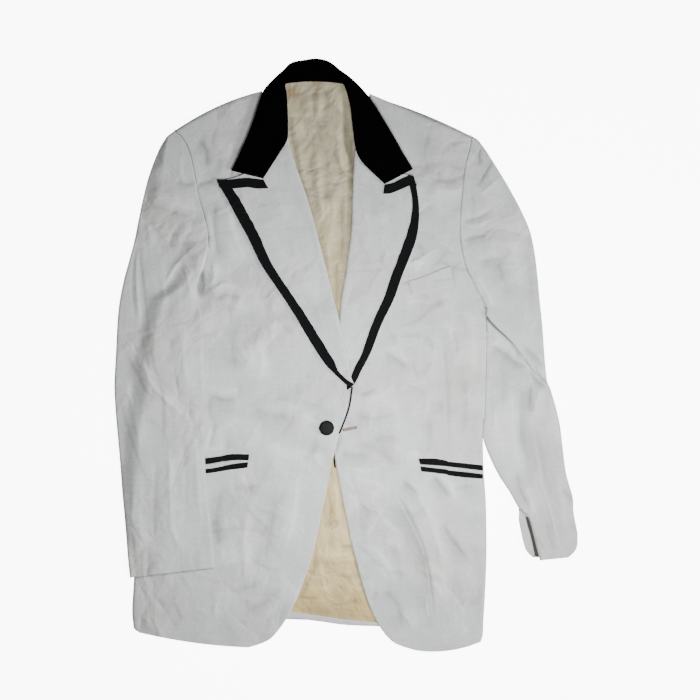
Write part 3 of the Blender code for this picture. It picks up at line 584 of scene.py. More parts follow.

# Creases and ridges: points along one, width on its left, width on its right, height. The height also darkens
# the colour in hollows and lightens it on ridges, as painted shade and highlight

FRONT_RIGHT_CREASES = (
    (((-202, 125), (-206, 112), (-209, 99), (-207, 87), (-204, 77)), 9.5, 1.7, -1.25),
    (((-199, 122), (-202, 111), (-200, 97), (-204, 83)), 2.1, 4.8, -0.7),
    (((-193, 88), (-181, 95), (-168, 101), (-146, 91)), 3.5, 9.5, 1.0),
    (((-192, 97), (-185, 111), (-188, 130)), 2.8, 8.3, 0.9),
    (((-188, 77), (-171, 85), (-148, 80)), 4.2, 8.3, -0.6),
    (((-197, -53), (-176, -62), (-153, -60)), 3.5, 7.1, -0.8),
    (((-196, -43), (-174, -50), (-148, -48)), 4.2, 8.3, 0.6),
    (((-148, -190), (-134, -185), (-118, -181)), 2.8, 7.1, -0.6),
    (((-209, 234), (-202, 242), (-182, 245)), 2.1, 6, -0.8),
    (((-182, 223), (-185, 175), (-176, 130)), 4.9, 11, -0.7),
    (((-168, 210), (-157, 167), (-140, 130)), 4.2, 12, 0.7),
    (((-196, 210), (-188, 172), (-188, 136)), 3.5, 8.3, 0.7),
    (((-210, 304), (-197, 287), (-196, 262)), 6.7, 6.7, -0.9),
    (((-182, -91), (-188, -113), (-193, -134)), 1.8, 1.8, -0.6),
    (((-154, 49), (-160, 14), (-154, -24)), 5.6, 12, -0.5),
    (((-129, 27), (-118, -1), (-120, -41)), 5.6, 14, 0.6),
    (((-134, -74), (-104, -85), (-70, -83)), 4.2, 12, -0.5),
    (((-118, -119), (-84, -136), (-50, -133)), 5.6, 12, 0.5),
    (((-39, -115), (-48, -136), (-64, -150)), 3.5, 9.5, -0.5),
    (((-174, -183), (-182, -231), (-176, -287)), 6.3, 14, -0.7),
    (((-134, -203), (-143, -259), (-140, -329)), 14, 6.3, 0.7),
    (((-98, -183), (-106, -245), (-118, -304)), 6.3, 14, -0.6),
    (((-67, -161), (-73, -217), (-87, -276)), 5.6, 12, 0.6),
    (((-260, -329), (-218, -351), (-168, -360)), 5.6, 12, 0.7),
    (((-148, -360), (-118, -349), (-87, -321)), 4.9, 11, -0.5),
)

FRONT_LEFT_CREASES = (
    # The first line is a shallow trough whose darkened colour is painted shadow of the right front's closing
    # edge
    (((-7, -109), (-10, -119), (-13, -130), (-15, -141)), 0.84, 0.84, -1.3),
    (((111, 251), (132, 245), (165, 251), (183, 253)), 2.8, 7.1, -0.6),
    (((118, 237), (140, 230), (168, 234)), 4.2, 9.5, 0.5),
    (((76, 101), (83, 102), (91, 105)), 1.7, 1.9, -0.6),
    (((90, 130), (99, 133), (109, 129)), 2.1, 6, 0.7),
    (((99, 161), (105, 150), (108, 137)), 2.1, 6, -0.6),
    (((126, 88), (129, 77), (127, 63)), 2.1, 6, -0.25),
    (((148, 126), (149, 112), (151, 95)), 1.7, 2.9, -0.45),
    (((81, 125), (104, 136), (132, 153)), 3.5, 9.5, 0.6),
    (((50, 8), (64, -3), (77, -11), (91, -22)), 2.1, 9.5, -0.9),
    (((53, 17), (70, 4), (87, -10)), 9.5, 2.1, 0.7),
    (((109, 28), (118, 18), (122, 4)), 1.8, 6, -0.6),
    (((148, 38), (154, 18), (155, -1)), 2.1, 6, -0.5),
    (((137, 52), (146, 27), (151, -7)), 9.5, 2.8, 0.5),
    (((17, -55), (28, -52), (45, -46)), 2.1, 7.1, -0.8),
    (((20, -63), (42, -57), (70, -41)), 4.2, 9.5, 0.6),
    (((8, -80), (36, -88), (76, -80)), 3.5, 9.5, -0.6),
    (((36, -119), (53, -115), (73, -116)), 2.8, 7.1, -0.6),
    (((64, -125), (87, -136), (104, -136)), 3.5, 8.3, 0.6),
    (((8, -119), (48, -136), (78, -161)), 4.9, 12, -0.5),
    (((-11, -136), (8, -140), (34, -140)), 2.1, 7.1, -0.6),
    (((-6, -155), (20, -161), (53, -158)), 2.8, 8.3, 0.5),
    (((132, 42), (137, 4), (141, -34), (143, -91), (143, -144)), 1.7, 1.7, -0.55),
    (((120, -169), (132, -182), (146, -202)), 2.1, 11, -1.0),
    (((126, -165), (140, -181), (154, -203)), 11, 2.1, 0.8),
    (((78, -176), (91, -186), (104, -200)), 2.1, 9.5, -0.9),
    (((64, -181), (77, -204), (90, -227), (106, -262),
      (113, -290), (118, -315), (122, -353), (129, -410)),
     1.7, 15, -1.15),
    (((62, -183), (74, -207), (87, -230), (104, -265),
      (111, -291), (115, -316), (119, -354), (126, -410)),
     4.8, 1.7, 0.7),
    (((81, -167), (109, -214), (126, -259), (140, -315)), 14, 3.5, 0.8),
    (((132, -234), (150, -260), (172, -290)), 2.1, 11, -0.9),
    (((148, -188), (162, -185), (179, -183)), 2.1, 6, -0.6),
    (((109, -287), (132, -308), (148, -343)), 4.2, 11, 0.6),
    (((14, -203), (36, -220), (59, -225)), 4.2, 11, -0.5),
    (((22, -267), (48, -281), (73, -326)), 4.9, 12, 0.6),
    (((48, -329), (70, -349), (78, -388)), 4.9, 12, -0.6),
    (((3, -172), (34, -178), (64, -195)), 3.5, 9.5, 0.5),
    (((174, -329), (162, -365), (168, -399)), 4.9, 11, 0.5),
    (((162, -24), (168, -63), (165, -119)), 4.9, 11, -0.5),
    (((174, 69), (179, 21), (179, -24)), 4.2, 9.5, 0.5),
    (((92, 77), (118, 71), (148, 83)), 2.8, 8.3, -0.4),
    (((115, 315), (109, 284), (115, 251)), 8.4, 8.4, -0.6),
)

SLEEVE_RIGHT_CREASES = (
    (((-281, 223), (-274, 214), (-266, 210), (-234, 199), (-202, 193)), 2.1, 11, -1.2),
    (((-277, 231), (-260, 220), (-230, 209), (-204, 204)), 11, 2.8, 0.9),
    (((-238, 246), (-227, 241), (-210, 241)), 2.1, 7.1, -0.9),
    (((-260, 304), (-262, 284), (-255, 262)), 2.8, 9.5, -0.9),
    (((-252, 265), (-238, 246), (-218, 239)), 3.5, 9.5, -0.6),
    (((-230, 287), (-232, 256), (-224, 242)), 6.7, 6.7, 0.7),
    (((-249, 147), (-246, 161), (-241, 174), (-227, 190)), 2.1, 9.5, -1.2),
    (((-237, 153), (-230, 169), (-213, 178)), 9.5, 3.5, 0.9),
    (((-293, 197), (-277, 178), (-269, 155)), 2.8, 9.5, 0.8),
    (((-293, 161), (-298, 130), (-300, 92), (-295, 35)), 9.5, 2.1, -0.9),
    (((-291, 161), (-286, 113), (-279, 49), (-276, 14)), 2.1, 9.5, -0.9),
    (((-293, 153), (-293, 98), (-288, 35)), 4.2, 4.2, 1.3),
    (((-256, 130), (-255, 91), (-252, 49)), 5.6, 12, 0.8),
    (((-235, 136), (-244, 77), (-255, 41)), 2.8, 11, -0.4),
    (((-202, 161), (-221, 144), (-241, 122), (-260, 88)), 18, 4.2, 2.0),
    (((-224, 167), (-210, 157), (-197, 139)), 6.7, 6.7, 1.0),
    (((-218, 147), (-210, 113), (-202, 88)), 5, 5, -0.5),
    (((-230, 141), (-221, 102), (-210, 69)), 9.5, 4.2, 0.9),
    (((-312, 8), (-297, -21), (-281, -49), (-266, -64)), 2.1, 9.5, -1.1),
    (((-294, 14), (-283, -13), (-272, -41), (-245, -69), (-217, -94)), 7.1, 2.8, 1.3),
    (((-308, 21), (-297, 4), (-280, -29)), 7.1, 2.8, 0.7),
    (((-277, 34), (-269, -14), (-256, -66), (-258, -136)), 2.8, 9.5, -0.8),
    (((-248, -113), (-246, -164), (-245, -225), (-237, -259), (-223, -281)), 11, 4.9, 1.1),
    (((-232, -97), (-224, -161), (-224, -231)), 6.3, 13, -0.7),
    (((-321, -46), (-307, -101), (-293, -139), (-274, -192)), 2.1, 9.5, -0.6),
    (((-311, -35), (-297, -80), (-286, -136)), 11, 5.6, 1.1),
    (((-263, -141), (-269, -203), (-266, -270)), 11, 4.9, -0.8),
    (((-288, -175), (-288, -231), (-283, -287)), 5.6, 11, 0.8),
    (((-301, -161), (-301, -231), (-294, -295)), 3.5, 8.3, -0.6),
    (((-210, -119), (-207, -175), (-202, -245)), 9.5, 4.2, 0.6),
    (((-224, 49), (-227, -7), (-218, -57)), 12, 5.6, 0.8),
    (((-244, 35), (-241, -18), (-230, -63)), 4.2, 11, -0.7),
    (((-260, 189), (-263, 167), (-260, 147)), 6.7, 6.7, -0.5),
)

SLEEVE_LEFT_CREASES = (
    (((189, 293), (186, 279), (189, 265)), 2.1, 7.1, -1.0),
    (((207, 276), (196, 256), (182, 234)), 2.8, 9.5, -0.9),
    (((216, 251), (202, 237), (185, 223)), 11, 3.5, 0.8),
    (((161, 188), (182, 193), (207, 204)), 2.1, 9.5, -1.0),
    (((165, 181), (188, 183), (216, 197)), 9.5, 3.5, 0.8),
    (((165, 161), (179, 167), (200, 169)), 2.1, 8.3, -1.0),
    (((185, 130), (199, 134), (220, 136)), 2.8, 8.3, -0.8),
    (((224, 175), (235, 139), (246, 91)), 8.4, 8.4, 0.8),
    (((210, 144), (218, 111), (232, 77)), 5.6, 12, -0.7),
    (((179, 119), (193, 91), (207, 66)), 7.1, 3.5, 0.9),
    (((252, 153), (258, 105), (263, 52)), 4.2, 9.5, -0.6),
    (((234, 217), (244, 186), (249, 161)), 6.7, 6.7, 0.6),
    (((249, 15), (263, -1), (276, -15)), 2.8, 7.1, -1.2),
    (((253, -15), (263, -32), (280, -46)), 2.1, 6, -1.6),
    (((244, 4), (255, -18), (259, -41)), 4.2, 4.2, 1.3),
    (((266, 4), (274, -13), (276, -35)), 4.2, 4.2, 1.1),
    (((259, -41), (258, -57), (258, -81)), 2.1, 7.1, -1.1),
    (((272, -43), (266, -66), (260, -91)), 9.5, 2.8, 1.0),
    (((197, 15), (216, 6), (237, -10), (255, -18)), 2.1, 11, -1.5),
    (((200, 24), (218, 15), (239, 0)), 8.3, 2.1, 1.1),
    (((245, -39), (245, -77), (245, -113), (252, -144), (252, -181)), 11, 2.8, -1.1),
    (((232, -35), (232, -77), (235, -119), (244, -161)), 4.2, 11, 0.9),
    (((256, -87), (262, -113), (269, -146), (273, -178),
      (280, -200), (287, -224), (295, -259), (301, -283)),
     1.7, 1.7, 0.7),
    (((263, -91), (272, -136), (280, -178), (288, -211)), 4.2, 9.5, -0.6),
    (((249, -181), (258, -203), (258, -225)), 8.3, 3.5, 1.1),
    (((238, -161), (244, -189), (255, -214)), 2.8, 7.1, -0.9),
    (((283, -52), (291, -91), (297, -133)), 9.5, 4.9, 0.8),
    (((294, -161), (302, -203), (308, -245)), 6.7, 6.7, 0.7),
    (((280, -231), (283, -253), (291, -276)), 5, 5, -0.6),
    (((207, -63), (210, -105), (221, -144)), 7.6, 7.6, 0.6),
    (((216, -15), (221, -41), (218, -74)), 5.6, 11, -0.6),
    (((300, -186), (311, -197), (319, -203)), 2.1, 4.8, -0.9),
)

LAPEL_RIGHT_CREASES = (
    (((-88, 276), (-85, 265), (-84, 248)), 2.1, 4.8, -0.35),
    (((-104, 231), (-90, 209), (-87, 181)), 6.7, 6.7, 0.35),
    (((-76, 251), (-64, 209), (-53, 167)), 4.2, 9.5, -0.3),
    (((-118, 192), (-98, 161), (-76, 122)), 5.6, 12, 0.35),
    (((-64, 130), (-48, 91), (-31, 60)), 6.7, 6.7, 0.35),
    (((-70, 97), (-53, 74), (-34, 29)), 4.2, 9.5, -0.3),
    (((-143, 223), (-118, 211), (-98, 211)), 3.5, 8.3, -0.3),
)

LAPEL_LEFT_CREASES = (
    (((31, 248), (39, 223), (39, 195)), 2.8, 8.3, -0.4),
    (((20, 217), (31, 181), (28, 147)), 4.9, 9.5, 0.35),
    (((50, 217), (53, 175), (45, 139)), 6.7, 6.7, 0.35),
    (((11, 130), (34, 130), (53, 139)), 2.8, 8.3, -0.35),
    (((3, 77), (17, 49), (22, 15)), 4.2, 9.5, 0.35),
    (((42, 237), (53, 211), (76, 206)), 3.5, 9.5, -0.3),
)

LINING_CREASES = (
    # The first three lines run along the lapels' rolls and the left front's edge: shallow troughs, and their
    # darkened colour is painted shadow of those edges
    (((-81, 357), (-80, 332), (-76, 302), (-69, 267), (-60, 237),
      (-52, 206), (-41, 167), (-28, 119), (-15, 70)),
     3.1, 1.7, -2.2),
    (((0, 371), (5, 329), (8, 287), (9, 267), (8, 238),
      (8, 203), (7, 164), (3, 119), (-4, 70)),
     1.7, 3.1, -2.2),
    (((6, -259), (14, -287), (24, -322), (35, -350), (42, -368)), 1.7, 2.6, -2.2),
    (((-39, -262), (-48, -301), (-60, -332), (-74, -357)), 2.4, 1.7, -1.4),
    (((-35, 382), (-41, 374), (-46, 361), (-45, 343), (-43, 321)), 1.7, 4.8, -1.6),
    (((-41, 379), (-34, 374), (-28, 361), (-32, 340), (-39, 321)), 3.6, 1.7, -1.3),
    (((-38, 368), (-36, 351), (-39, 335)), 2.5, 2.5, 1.4),
    (((-56, 379), (-53, 357), (-48, 332)), 7.1, 3.5, 0.8),
    (((-43, 332), (-38, 323), (-32, 315)), 1.7, 1.7, -1.2),
    (((-32, 332), (-36, 321), (-43, 312)), 1.7, 1.7, -1.2),
    (((-48, 323), (-36, 321), (-25, 323)), 1.7, 1.7, -0.9),
    (((-36, 318), (-36, 307), (-34, 295)), 1.7, 3.6, -0.9),
    (((-39, 315), (-50, 298), (-64, 279)), 2.1, 7.1, -1.1),
    (((-34, 315), (-22, 309), (-8, 298)), 2.1, 6, -0.9),
    (((-28, 357), (-17, 349), (-6, 332)), 2.1, 6, -1.0),
    (((-78, 368), (-64, 367), (-48, 377)), 2.1, 4.8, -0.9),
    (((-80, 351), (-70, 329), (-56, 309)), 4.2, 8.3, 0.7),
    (((-17, 377), (-11, 357), (-6, 340)), 2.8, 6, 0.9),
    (((-7, 363), (-1, 340), (-1, 315), (0, 293), (6, 273), (10, 251), (11, 214)), 4.8, 2.1, -2.2),
    (((3, 351), (6, 323), (6, 298)), 2.5, 2.5, 1.2),
    (((-14, 329), (-11, 301), (-8, 273), (0, 239)), 6, 2.8, 1.3),
    (((-20, 293), (-11, 270), (0, 248)), 2.1, 7.1, -1.1),
    (((-62, 307), (-64, 284), (-60, 256), (-53, 223)), 3.5, 7.1, 1.0),
    (((-48, 301), (-49, 267), (-45, 231), (-39, 197)), 2.1, 7.1, -1.2),
    (((-39, 293), (-39, 262), (-36, 217), (-31, 175)), 6, 2.8, 1.1),
    (((-28, 301), (-27, 273), (-28, 239), (-25, 209)), 2.8, 7.1, -1.0),
    (((-70, 273), (-63, 242), (-55, 209), (-48, 172)), 2.1, 4.8, -1.3),
    (((-20, 237), (-17, 209), (-20, 175), (-22, 141)), 7.1, 3.5, 1.1),
    (((-7, 234), (-7, 203), (-6, 161), (-8, 122)), 2.8, 6, -1.3),
    (((-8, 251), (-20, 231), (-39, 217)), 2.8, 7.1, -0.8),
    (((-42, 167), (-35, 144), (-28, 105)), 2.1, 4.8, -1.2),
    (((-31, 186), (-25, 150), (-22, 105), (-18, 77)), 3.4, 3.4, 1.0),
    (((-14, 130), (-14, 105), (-13, 71)), 2.1, 4.8, -1.0),
    (((-59, 363), (-64, 343), (-62, 323)), 3.5, 7.1, -0.7),
    (((-22, 340), (-28, 332), (-34, 323)), 2.1, 4.8, -0.9),
    (((-34, -238), (-22, -237), (-10, -231)), 2.1, 6, -1.1),
    (((-31, -248), (-17, -245), (-3, -239)), 3.4, 3.4, 0.9),
    (((-11, -270), (0, -269), (11, -267)), 2.1, 6, -1.1),
    (((-48, -277), (-22, -280), (14, -277)), 3.5, 7.1, 1.1),
    (((-53, -290), (-22, -293), (17, -290)), 2.8, 7.1, -0.9),
    (((-64, -339), (-53, -342), (-39, -339)), 2.1, 4.8, -1.1),
    (((-64, -323), (-42, -329), (-17, -323)), 3.5, 7.1, 0.9),
    (((-22, -353), (-3, -349), (25, -342)), 2.1, 6, -1.1),
    (((-22, -307), (0, -312), (22, -307)), 2.8, 7.1, -0.8),
    (((-39, -287), (-31, -315), (-28, -343)), 3.5, 7.1, 0.7),
    (((-3, -287), (6, -312), (20, -335)), 3.5, 7.1, 0.7),
    (((-17, -175), (-13, -203), (-14, -231)), 2.8, 6, 0.9),
    (((-25, -192), (-22, -217), (-25, -251)), 2.8, 6, -0.8),
    (((-8, -203), (-4, -225), (-3, -253)), 3.4, 3.4, -0.7),
    (((-39, -242), (-39, -265), (-45, -287)), 4.2, 4.2, 0.7),
    (((-8, -318), (-6, -335), (-11, -349)), 2.8, 6, -0.7),
    (((-56, -304), (-59, -321), (-64, -335)), 2.8, 6, -0.7),
)

COLLAR_CREASES = (
    (((-88, 403), (-84, 392), (-83, 379)), 1.7, 4.8, -0.5),
    (((-14, 405), (-6, 391), (1, 379)), 2.1, 4.8, -0.4),
    (((-118, 357), (-132, 312), (-148, 273)), 8.4, 8.4, 0.3),
    (((36, 340), (56, 307), (73, 276)), 5.6, 12, 0.35),
    (((25, 351), (42, 315), (59, 279)), 3.5, 7.1, -0.3),
)

# Upper arm lapped over the forearm at the elbow: how far along the lap, and share of the height
ELBOW_LAP = (
    (0.35, 1.0),
    (0.7, 0.98),
    (0.92, 0.9),
    (1.0, 0.78),
    (0.94, 0.62),
    (0.7, 0.53),
    (0.2, 0.5),
    (-0.4, 0.46),
    (-0.85, 0.38),
    (-1.0, 0.26),
    (-0.85, 0.12),
    (-0.4, 0.04),
    (0.0, 0.0),
    (0.4, 0.0),
)

# Reach and lift of the lap, and painted shade in the lap and in the gap below it, millimetres or shares of
# the width
ELBOW_REACH = 4.5
ELBOW_LIFT = 8.0
ELBOW_LIFT_REACH = 30.0
ELBOW_LIFT_TO = 0.55
ELBOW_LIFT_FADE = 0.4
ELBOW_LAP_FROM = 0.12
LAP_CALM = 0.85
LAP_SHADE = 3.5
LAP_SHADED = (0.03, 0.75)
GAP_SHADE = 7.0
GAP_NEAR = 10.5
GAP_REACH = 2.6
GAP_FROM = 0.24
GAP_FADE = 0.3
ELBOW_GAIN = 1.6
ELBOW_WAY = (-0.1, -0.99)

# Painted shade along a sleeve's seam, and gains of the sleeves' painted crease shade and the fronts' creases
EDGE_SHADE = 1.7
EDGE_SHADE_REACH = 2.2
SLEEVE_TINT = 0.65
FRONT_GAIN = 1.7


def smooth(value):
    """Ease from 0 to 1 as the value goes from 0 to 1."""
    value = np.clip(value, 0.0, 1.0)
    return value * value * (3.0 - 2.0 * value)


def blend(start, end, share):
    return start + (end - start) * share


def section(rows, place):
    """Columns of a table at places between its rows, on a smooth curve through them."""
    table = np.array(rows, float)
    last = len(table) - 1
    index = np.clip(np.floor(place).astype(int), 0, last - 1)
    share = (place - index)[..., None]
    before, start = table[np.maximum(index - 1, 0)], table[index]
    end, after = table[index + 1], table[np.minimum(index + 2, last)]
    slope_in, slope_out = (end - before) / 2, (after - start) / 2
    lean = 3 * (end - start) - 2 * slope_in - slope_out
    turn = 2 * (start - end) + slope_in + slope_out
    values = start + share * (slope_in + share * (lean + share * turn))
    return np.moveaxis(values, -1, 0)


def edges(rows):
    """The edge columns of a table, without the columns after them."""
    return [row[:4] for row in rows]


def plan(rows, place, inset):
    """X and Y of points at insets from the first end of sections, and their shares of the width."""
    values = section(rows, place)
    x_start, y_start, x_end, y_end = (column[:, None] for column in values[:4])
    bow = values[4][:, None] if len(values) > 4 else 0.0
    share = inset / np.hypot(x_end - x_start, y_end - y_start)
    x = blend(x_start, x_end, share)
    y = blend(y_start, y_end, share) + 4 * bow * share * (1 - share)
    return x, y, share


def width_of(rows, place):
    values = section(rows, place)
    return np.hypot(values[2] - values[0], values[3] - values[1])


def edge_at(rows, column, y):
    """X of one edge of a panel at a height along the jacket, by straight steps between rows."""
    points = sorted((row[column + 1], row[column]) for row in rows)
    return np.interp(y, [point[0] for point in points], [point[1] for point in points])


def stepped(pairs, y):
    """Value of a falling table of (y, value) pairs, eased between them."""
    result = np.full(np.shape(y), float(pairs[0][1]))
    for (y_high, above), (y_low, below) in zip(pairs, pairs[1:]):
        result = result + (below - above) * smooth((y_high - y) / (y_high - y_low))
    return result


def lines_down(rows, step, start_fine=(), end_fine=()):
    """Places down a table about one step apart, with finer ones at its ends."""
    table = np.array(edges(rows), float)
    moved = table[1:] - table[:-1]
    farther = np.maximum(np.hypot(*moved[:, :2].T), np.hypot(*moved[:, 2:].T))
    gone = np.concatenate([[0.0], np.cumsum(farther)])
    low = start_fine[-1] if start_fine else 0.0
    high = gone[-1] - (end_fine[-1] if end_fine else 0.0)
    middle = np.linspace(low, high, max(2, int(math.ceil((high - low) / step)) + 1))
    marks = np.concatenate([start_fine[:-1], middle, [gone[-1] - far for far in end_fine[-2::-1]]])
    return np.interp(marks, gone, np.arange(len(gone))), marks, gone[-1]


def columns_across(width, count, start_near, end_near):
    """Insets across sections: fixed near both ends and even between them."""
    first, last = start_near[-1], end_near[-1]
    middle = first + (width[:, None] - first - last) * np.linspace(0, 1, count + 1)[None, :]
    start = np.tile(start_near[:-1], (len(width), 1))
    end = width[:, None] - np.array(end_near[-2::-1])[None, :]
    return np.concatenate([start, middle, end], axis=1)


def fallen(distance, reach, fall):
    """How far a rounded edge has fallen at a distance from its outermost line."""
    near = 1 - np.clip(distance / reach, 0, 1)
    return fall * (1 - np.sqrt(np.maximum(0.0, 1 - near * near)))


def path_through(points):
    """Smooth path through a crease's points."""
    rows = [point + point for point in points]
    place = np.linspace(0, len(points) - 1, CREASE_STEPS * (len(points) - 1) + 1)
    return section(rows, place)[:2]


def relief(creases, x, y):
    """Height that a table of creases adds: soft across, with its own width on each side, and
    fading towards both ends."""
    x, y = np.broadcast_arrays(np.asarray(x, float), np.asarray(y, float))
    total = np.zeros(x.shape)
    for points, left, right, height in creases:
        px, py = path_through(points)
        reach = CREASE_REACH * max(left, right)
        near = (x > px.min() - reach) & (x < px.max() + reach)
        near = near & (y > py.min() - reach) & (y < py.max() + reach)
        if not near.any():
            continue
        u, v = x[near], y[near]
        best = np.full(u.shape, np.inf)
        side = np.zeros(u.shape)
        along = np.zeros(u.shape)
        for index in range(len(px) - 1):
            ax, ay = px[index], py[index]
            bx, by = px[index + 1] - ax, py[index + 1] - ay
            share = np.clip(((u - ax) * bx + (v - ay) * by) / (bx * bx + by * by), 0, 1)
            gap_x, gap_y = u - ax - share * bx, v - ay - share * by
            gap = gap_x * gap_x + gap_y * gap_y
            closer = gap < best
            best = np.where(closer, gap, best)
            side = np.where(closer, bx * gap_y - by * gap_x, side)
            along = np.where(closer, (index + share) / (len(px) - 1), along)
        spread = np.where(side > 0, left, right)
        fade = smooth(along / CREASE_ENDS) * smooth((1 - along) / CREASE_ENDS)
        total[near] += CREASE_GAIN * height * np.exp(-np.sqrt(best) / spread) * fade
    return total


def small_creases(seed, low, high, count, lean=0.0, spread=math.pi, strength=1.0):
    """Short faint creases at drawn places in a box, leaning about one way."""
    draw = np.random.default_rng(seed)
    creases = []
    for _ in range(count):
        x, y = draw.uniform(low[0], high[0]), draw.uniform(low[1], high[1])
        way, long = lean + draw.uniform(-0.5, 0.5) * spread, draw.uniform(*SMALL_LONG)
        dx, dy, bend = math.cos(way) * long, math.sin(way) * long, draw.uniform(-SMALL_BEND, SMALL_BEND)
        points = ((x - dx, y - dy), (x - dy * bend, y + dx * bend), (x + dx, y + dy))
        sharp, soft = draw.uniform(*SMALL_SHARP), draw.uniform(*SMALL_SOFT)
        left, right = (sharp, soft) if draw.random() < 0.5 else (soft, sharp)
        height = strength * draw.uniform(*SMALL_HIGH) * draw.choice((-1, 1))
        creases.append((points, left, right, height))
    return tuple(creases)


def rumple(x, y, size, seed):
    """Even unrest of about one in height, from waves of mixed lengths and directions."""
    draw = np.random.default_rng(seed)
    total = 0.0
    for _ in range(RUMPLE_WAVES):
        way, length = draw.uniform(0, math.tau), size * draw.uniform(*RUMPLE_LENGTHS)
        start = draw.uniform(0, math.tau)
        total = total + np.sin((x * math.cos(way) + y * math.sin(way)) * math.tau / length + start)
    return total / math.sqrt(RUMPLE_WAVES)


def unrest(waves, x, y):
    """Unrest of a sheet from its table of height, size and seed."""
    return sum(height * rumple(x, y, size, seed) for height, size, seed in waves)


def beside(row):
    """A row of the left sleeve with its inner edge drawn against the body where it nearly touches."""
    side = float(edge_at(FRONT_LEFT, 0, row[3]))
    return row[:2] + (side + BESIDE_GAP,) + row[3:] if 0 < row[2] - side < BESIDE_REACH else row


SLEEVE_LEFT = SLEEVE_LEFT[:ELBOW_ROW] + tuple(beside(row) for row in SLEEVE_LEFT[ELBOW_ROW:])

SMALL_RIGHT = small_creases(51, (-200, -370), (-20, 300), 90)
SMALL_LEFT = small_creases(52, (0, -380), (190, 300), 90)
SMALL_SLEEVE_RIGHT = small_creases(53, (-320, -300), (-190, 300), 80, math.pi / 2, 1.9, 0.5)
SMALL_SLEEVE_LEFT = small_creases(54, (165, -280), (320, 290), 80, math.pi / 2, 1.9, 0.8)


def back_top(x, y):
    """Upper face of the back, which rises a little at the neck."""
    away = np.hypot(x - NECK_CENTRE[0], (y - NECK_CENTRE[1]) * NECK_SQUASH)
    return NECK_RISE * (1 - smooth((away - NECK_FLAT) / NECK_RAMP)) + BACK_WALL


def front_rest(rows, x, y):
    """Upper face of a front without its shoulder pad: low at the free edge, higher outwards."""
    right = rows is FRONT_RIGHT
    edge = edge_at(rows, 2, y)
    away = edge - x if right else x - edge
    swell = smooth(away / FREE_REACH) * (1 - HEM_FLATTENS * smooth((HEM_START - y) / HEM_REACH))
    height = blend(FREE_TOP, BODY_TOP, swell)
    if right:
        height = height + stepped(CLOSURE, y) * (1 - smooth(away / CLOSURE_REACH))
    return height


def front_relief(rows, x, y):
    """Creases and unrest of a front, none where a sleeve lies on it."""
    if rows is FRONT_RIGHT:
        creases, waves = FRONT_RIGHT_CREASES + SMALL_RIGHT, FRONT_RIGHT_UNREST
        under_sleeve = smooth((COVERED_START - y) / COVERED_REACH)
    else:
        creases, waves, under_sleeve = FRONT_LEFT_CREASES + SMALL_LEFT, FRONT_LEFT_UNREST, 0.0
    past_sleeve = x - edge_at(SLEEVE_RIGHT, 2, y) + COVERED_INSIDE
    clear = 1 - under_sleeve * (1 - smooth(past_sleeve / COVERED_FADE))
    return (FRONT_GAIN * relief(creases, x, y) + unrest(waves, x, y)) * clear


def front_face(rows, x, y):
    shoulder = SHOULDER_RIGHT if rows is FRONT_RIGHT else SHOULDER_LEFT
    away = np.hypot(x - shoulder[0], y - shoulder[1])
    pad = PAD_HEIGHT * (1 - smooth(away / PAD_REACH))
    return front_rest(rows, x, y) + pad + front_relief(rows, x, y)


def lapel_relief(rows, x, y):
    return relief(LAPEL_RIGHT_CREASES if rows is FRONT_RIGHT else LAPEL_LEFT_CREASES, x, y)


def lapel_face(rows, x, y):
    """Upper face of a lapel that lies on a front."""
    return front_face(rows, x, y) + LAPEL_LIFT + LAPEL_WALL + lapel_relief(rows, x, y)


def sleeve_rest(x, y):
    """Surface under the right sleeve: the table outside the body, the body inside it."""
    inside = x - edge_at(FRONT_RIGHT, 0, y)
    gate = smooth((ARMPIT_START - y) / ARMPIT_REACH)
    return SLEEVE_REST * smooth((inside + SLEEVE_RAMP) / (SLEEVE_RAMP - SLEEVE_SHELF)) * gate


def on_table(x, y):
    return np.zeros(np.broadcast(x, y).shape)


def finished(name, bm, slot, nodes):
    """Object at the origin from a bmesh, in its slot's finish, riding on the jacket and standing for
    its nodes."""
    mesh = bpy.data.meshes.new(name)
    bm.to_mesh(mesh)
    bm.free()
    mesh.materials.append(finishes[slot])
    mesh.shade_smooth()
    piece = bpy.data.objects.new(name, mesh)
    bpy.context.scene.collection.objects.link(piece)
    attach(piece, "root")
    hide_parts(*nodes)
    return piece


def cloth(name, points, wall, slot, nodes, relief_shade=None):
    """Sheet with its upper face through the points, X, Y and height by lines and columns, and a wall below
    it. Its map "cut" gives the distance gone over the cloth across and along, in metres, and its attribute of
    relief gives how far each point stands proud of the calm cloth, in millimetres, with painted shade added
    where a sheet paints it; the finishes turn it into painted shade in the hollows and a painted highlight on
    the crests."""
    spots = np.stack(np.broadcast_arrays(*points), axis=2)
    spots[..., 2] = np.maximum(spots[..., 2], wall)
    along, across = spots.shape[0] - 1, spots.shape[1] - 1
    bm = bmesh.new()
    bmesh.ops.create_grid(bm, x_segments=across, y_segments=along, size=0.5)
    cut = cut_lengths(spots)
    layer = bm.loops.layers.uv.new("cut")
    proud = bm.verts.layers.float.new("relief_shade")
    cells = {}
    for vert in bm.verts:
        cells[vert] = round((vert.co.y + 0.5) * along), round((vert.co.x + 0.5) * across)
    for vert, (line, column) in cells.items():
        vert.co = spots[line, column] * MM
        vert[proud] = 0.0 if relief_shade is None else relief_shade[line, column]
    for face in bm.faces:
        for loop in face.loops:
            loop[layer].uv = cut[cells[loop.vert]] * MM
    bm.normal_update()
    if sum(face.normal.z * face.calc_area() for face in bm.faces) < 0:
        bmesh.ops.reverse_faces(bm, faces=bm.faces)
    piece = finished(name, bm, slot, nodes)
    solidify = piece.modifiers.new("wall", "SOLIDIFY")
    solidify.thickness = wall * MM
    solidify.offset = -1.0
    solidify.use_even_offset = False
    return piece


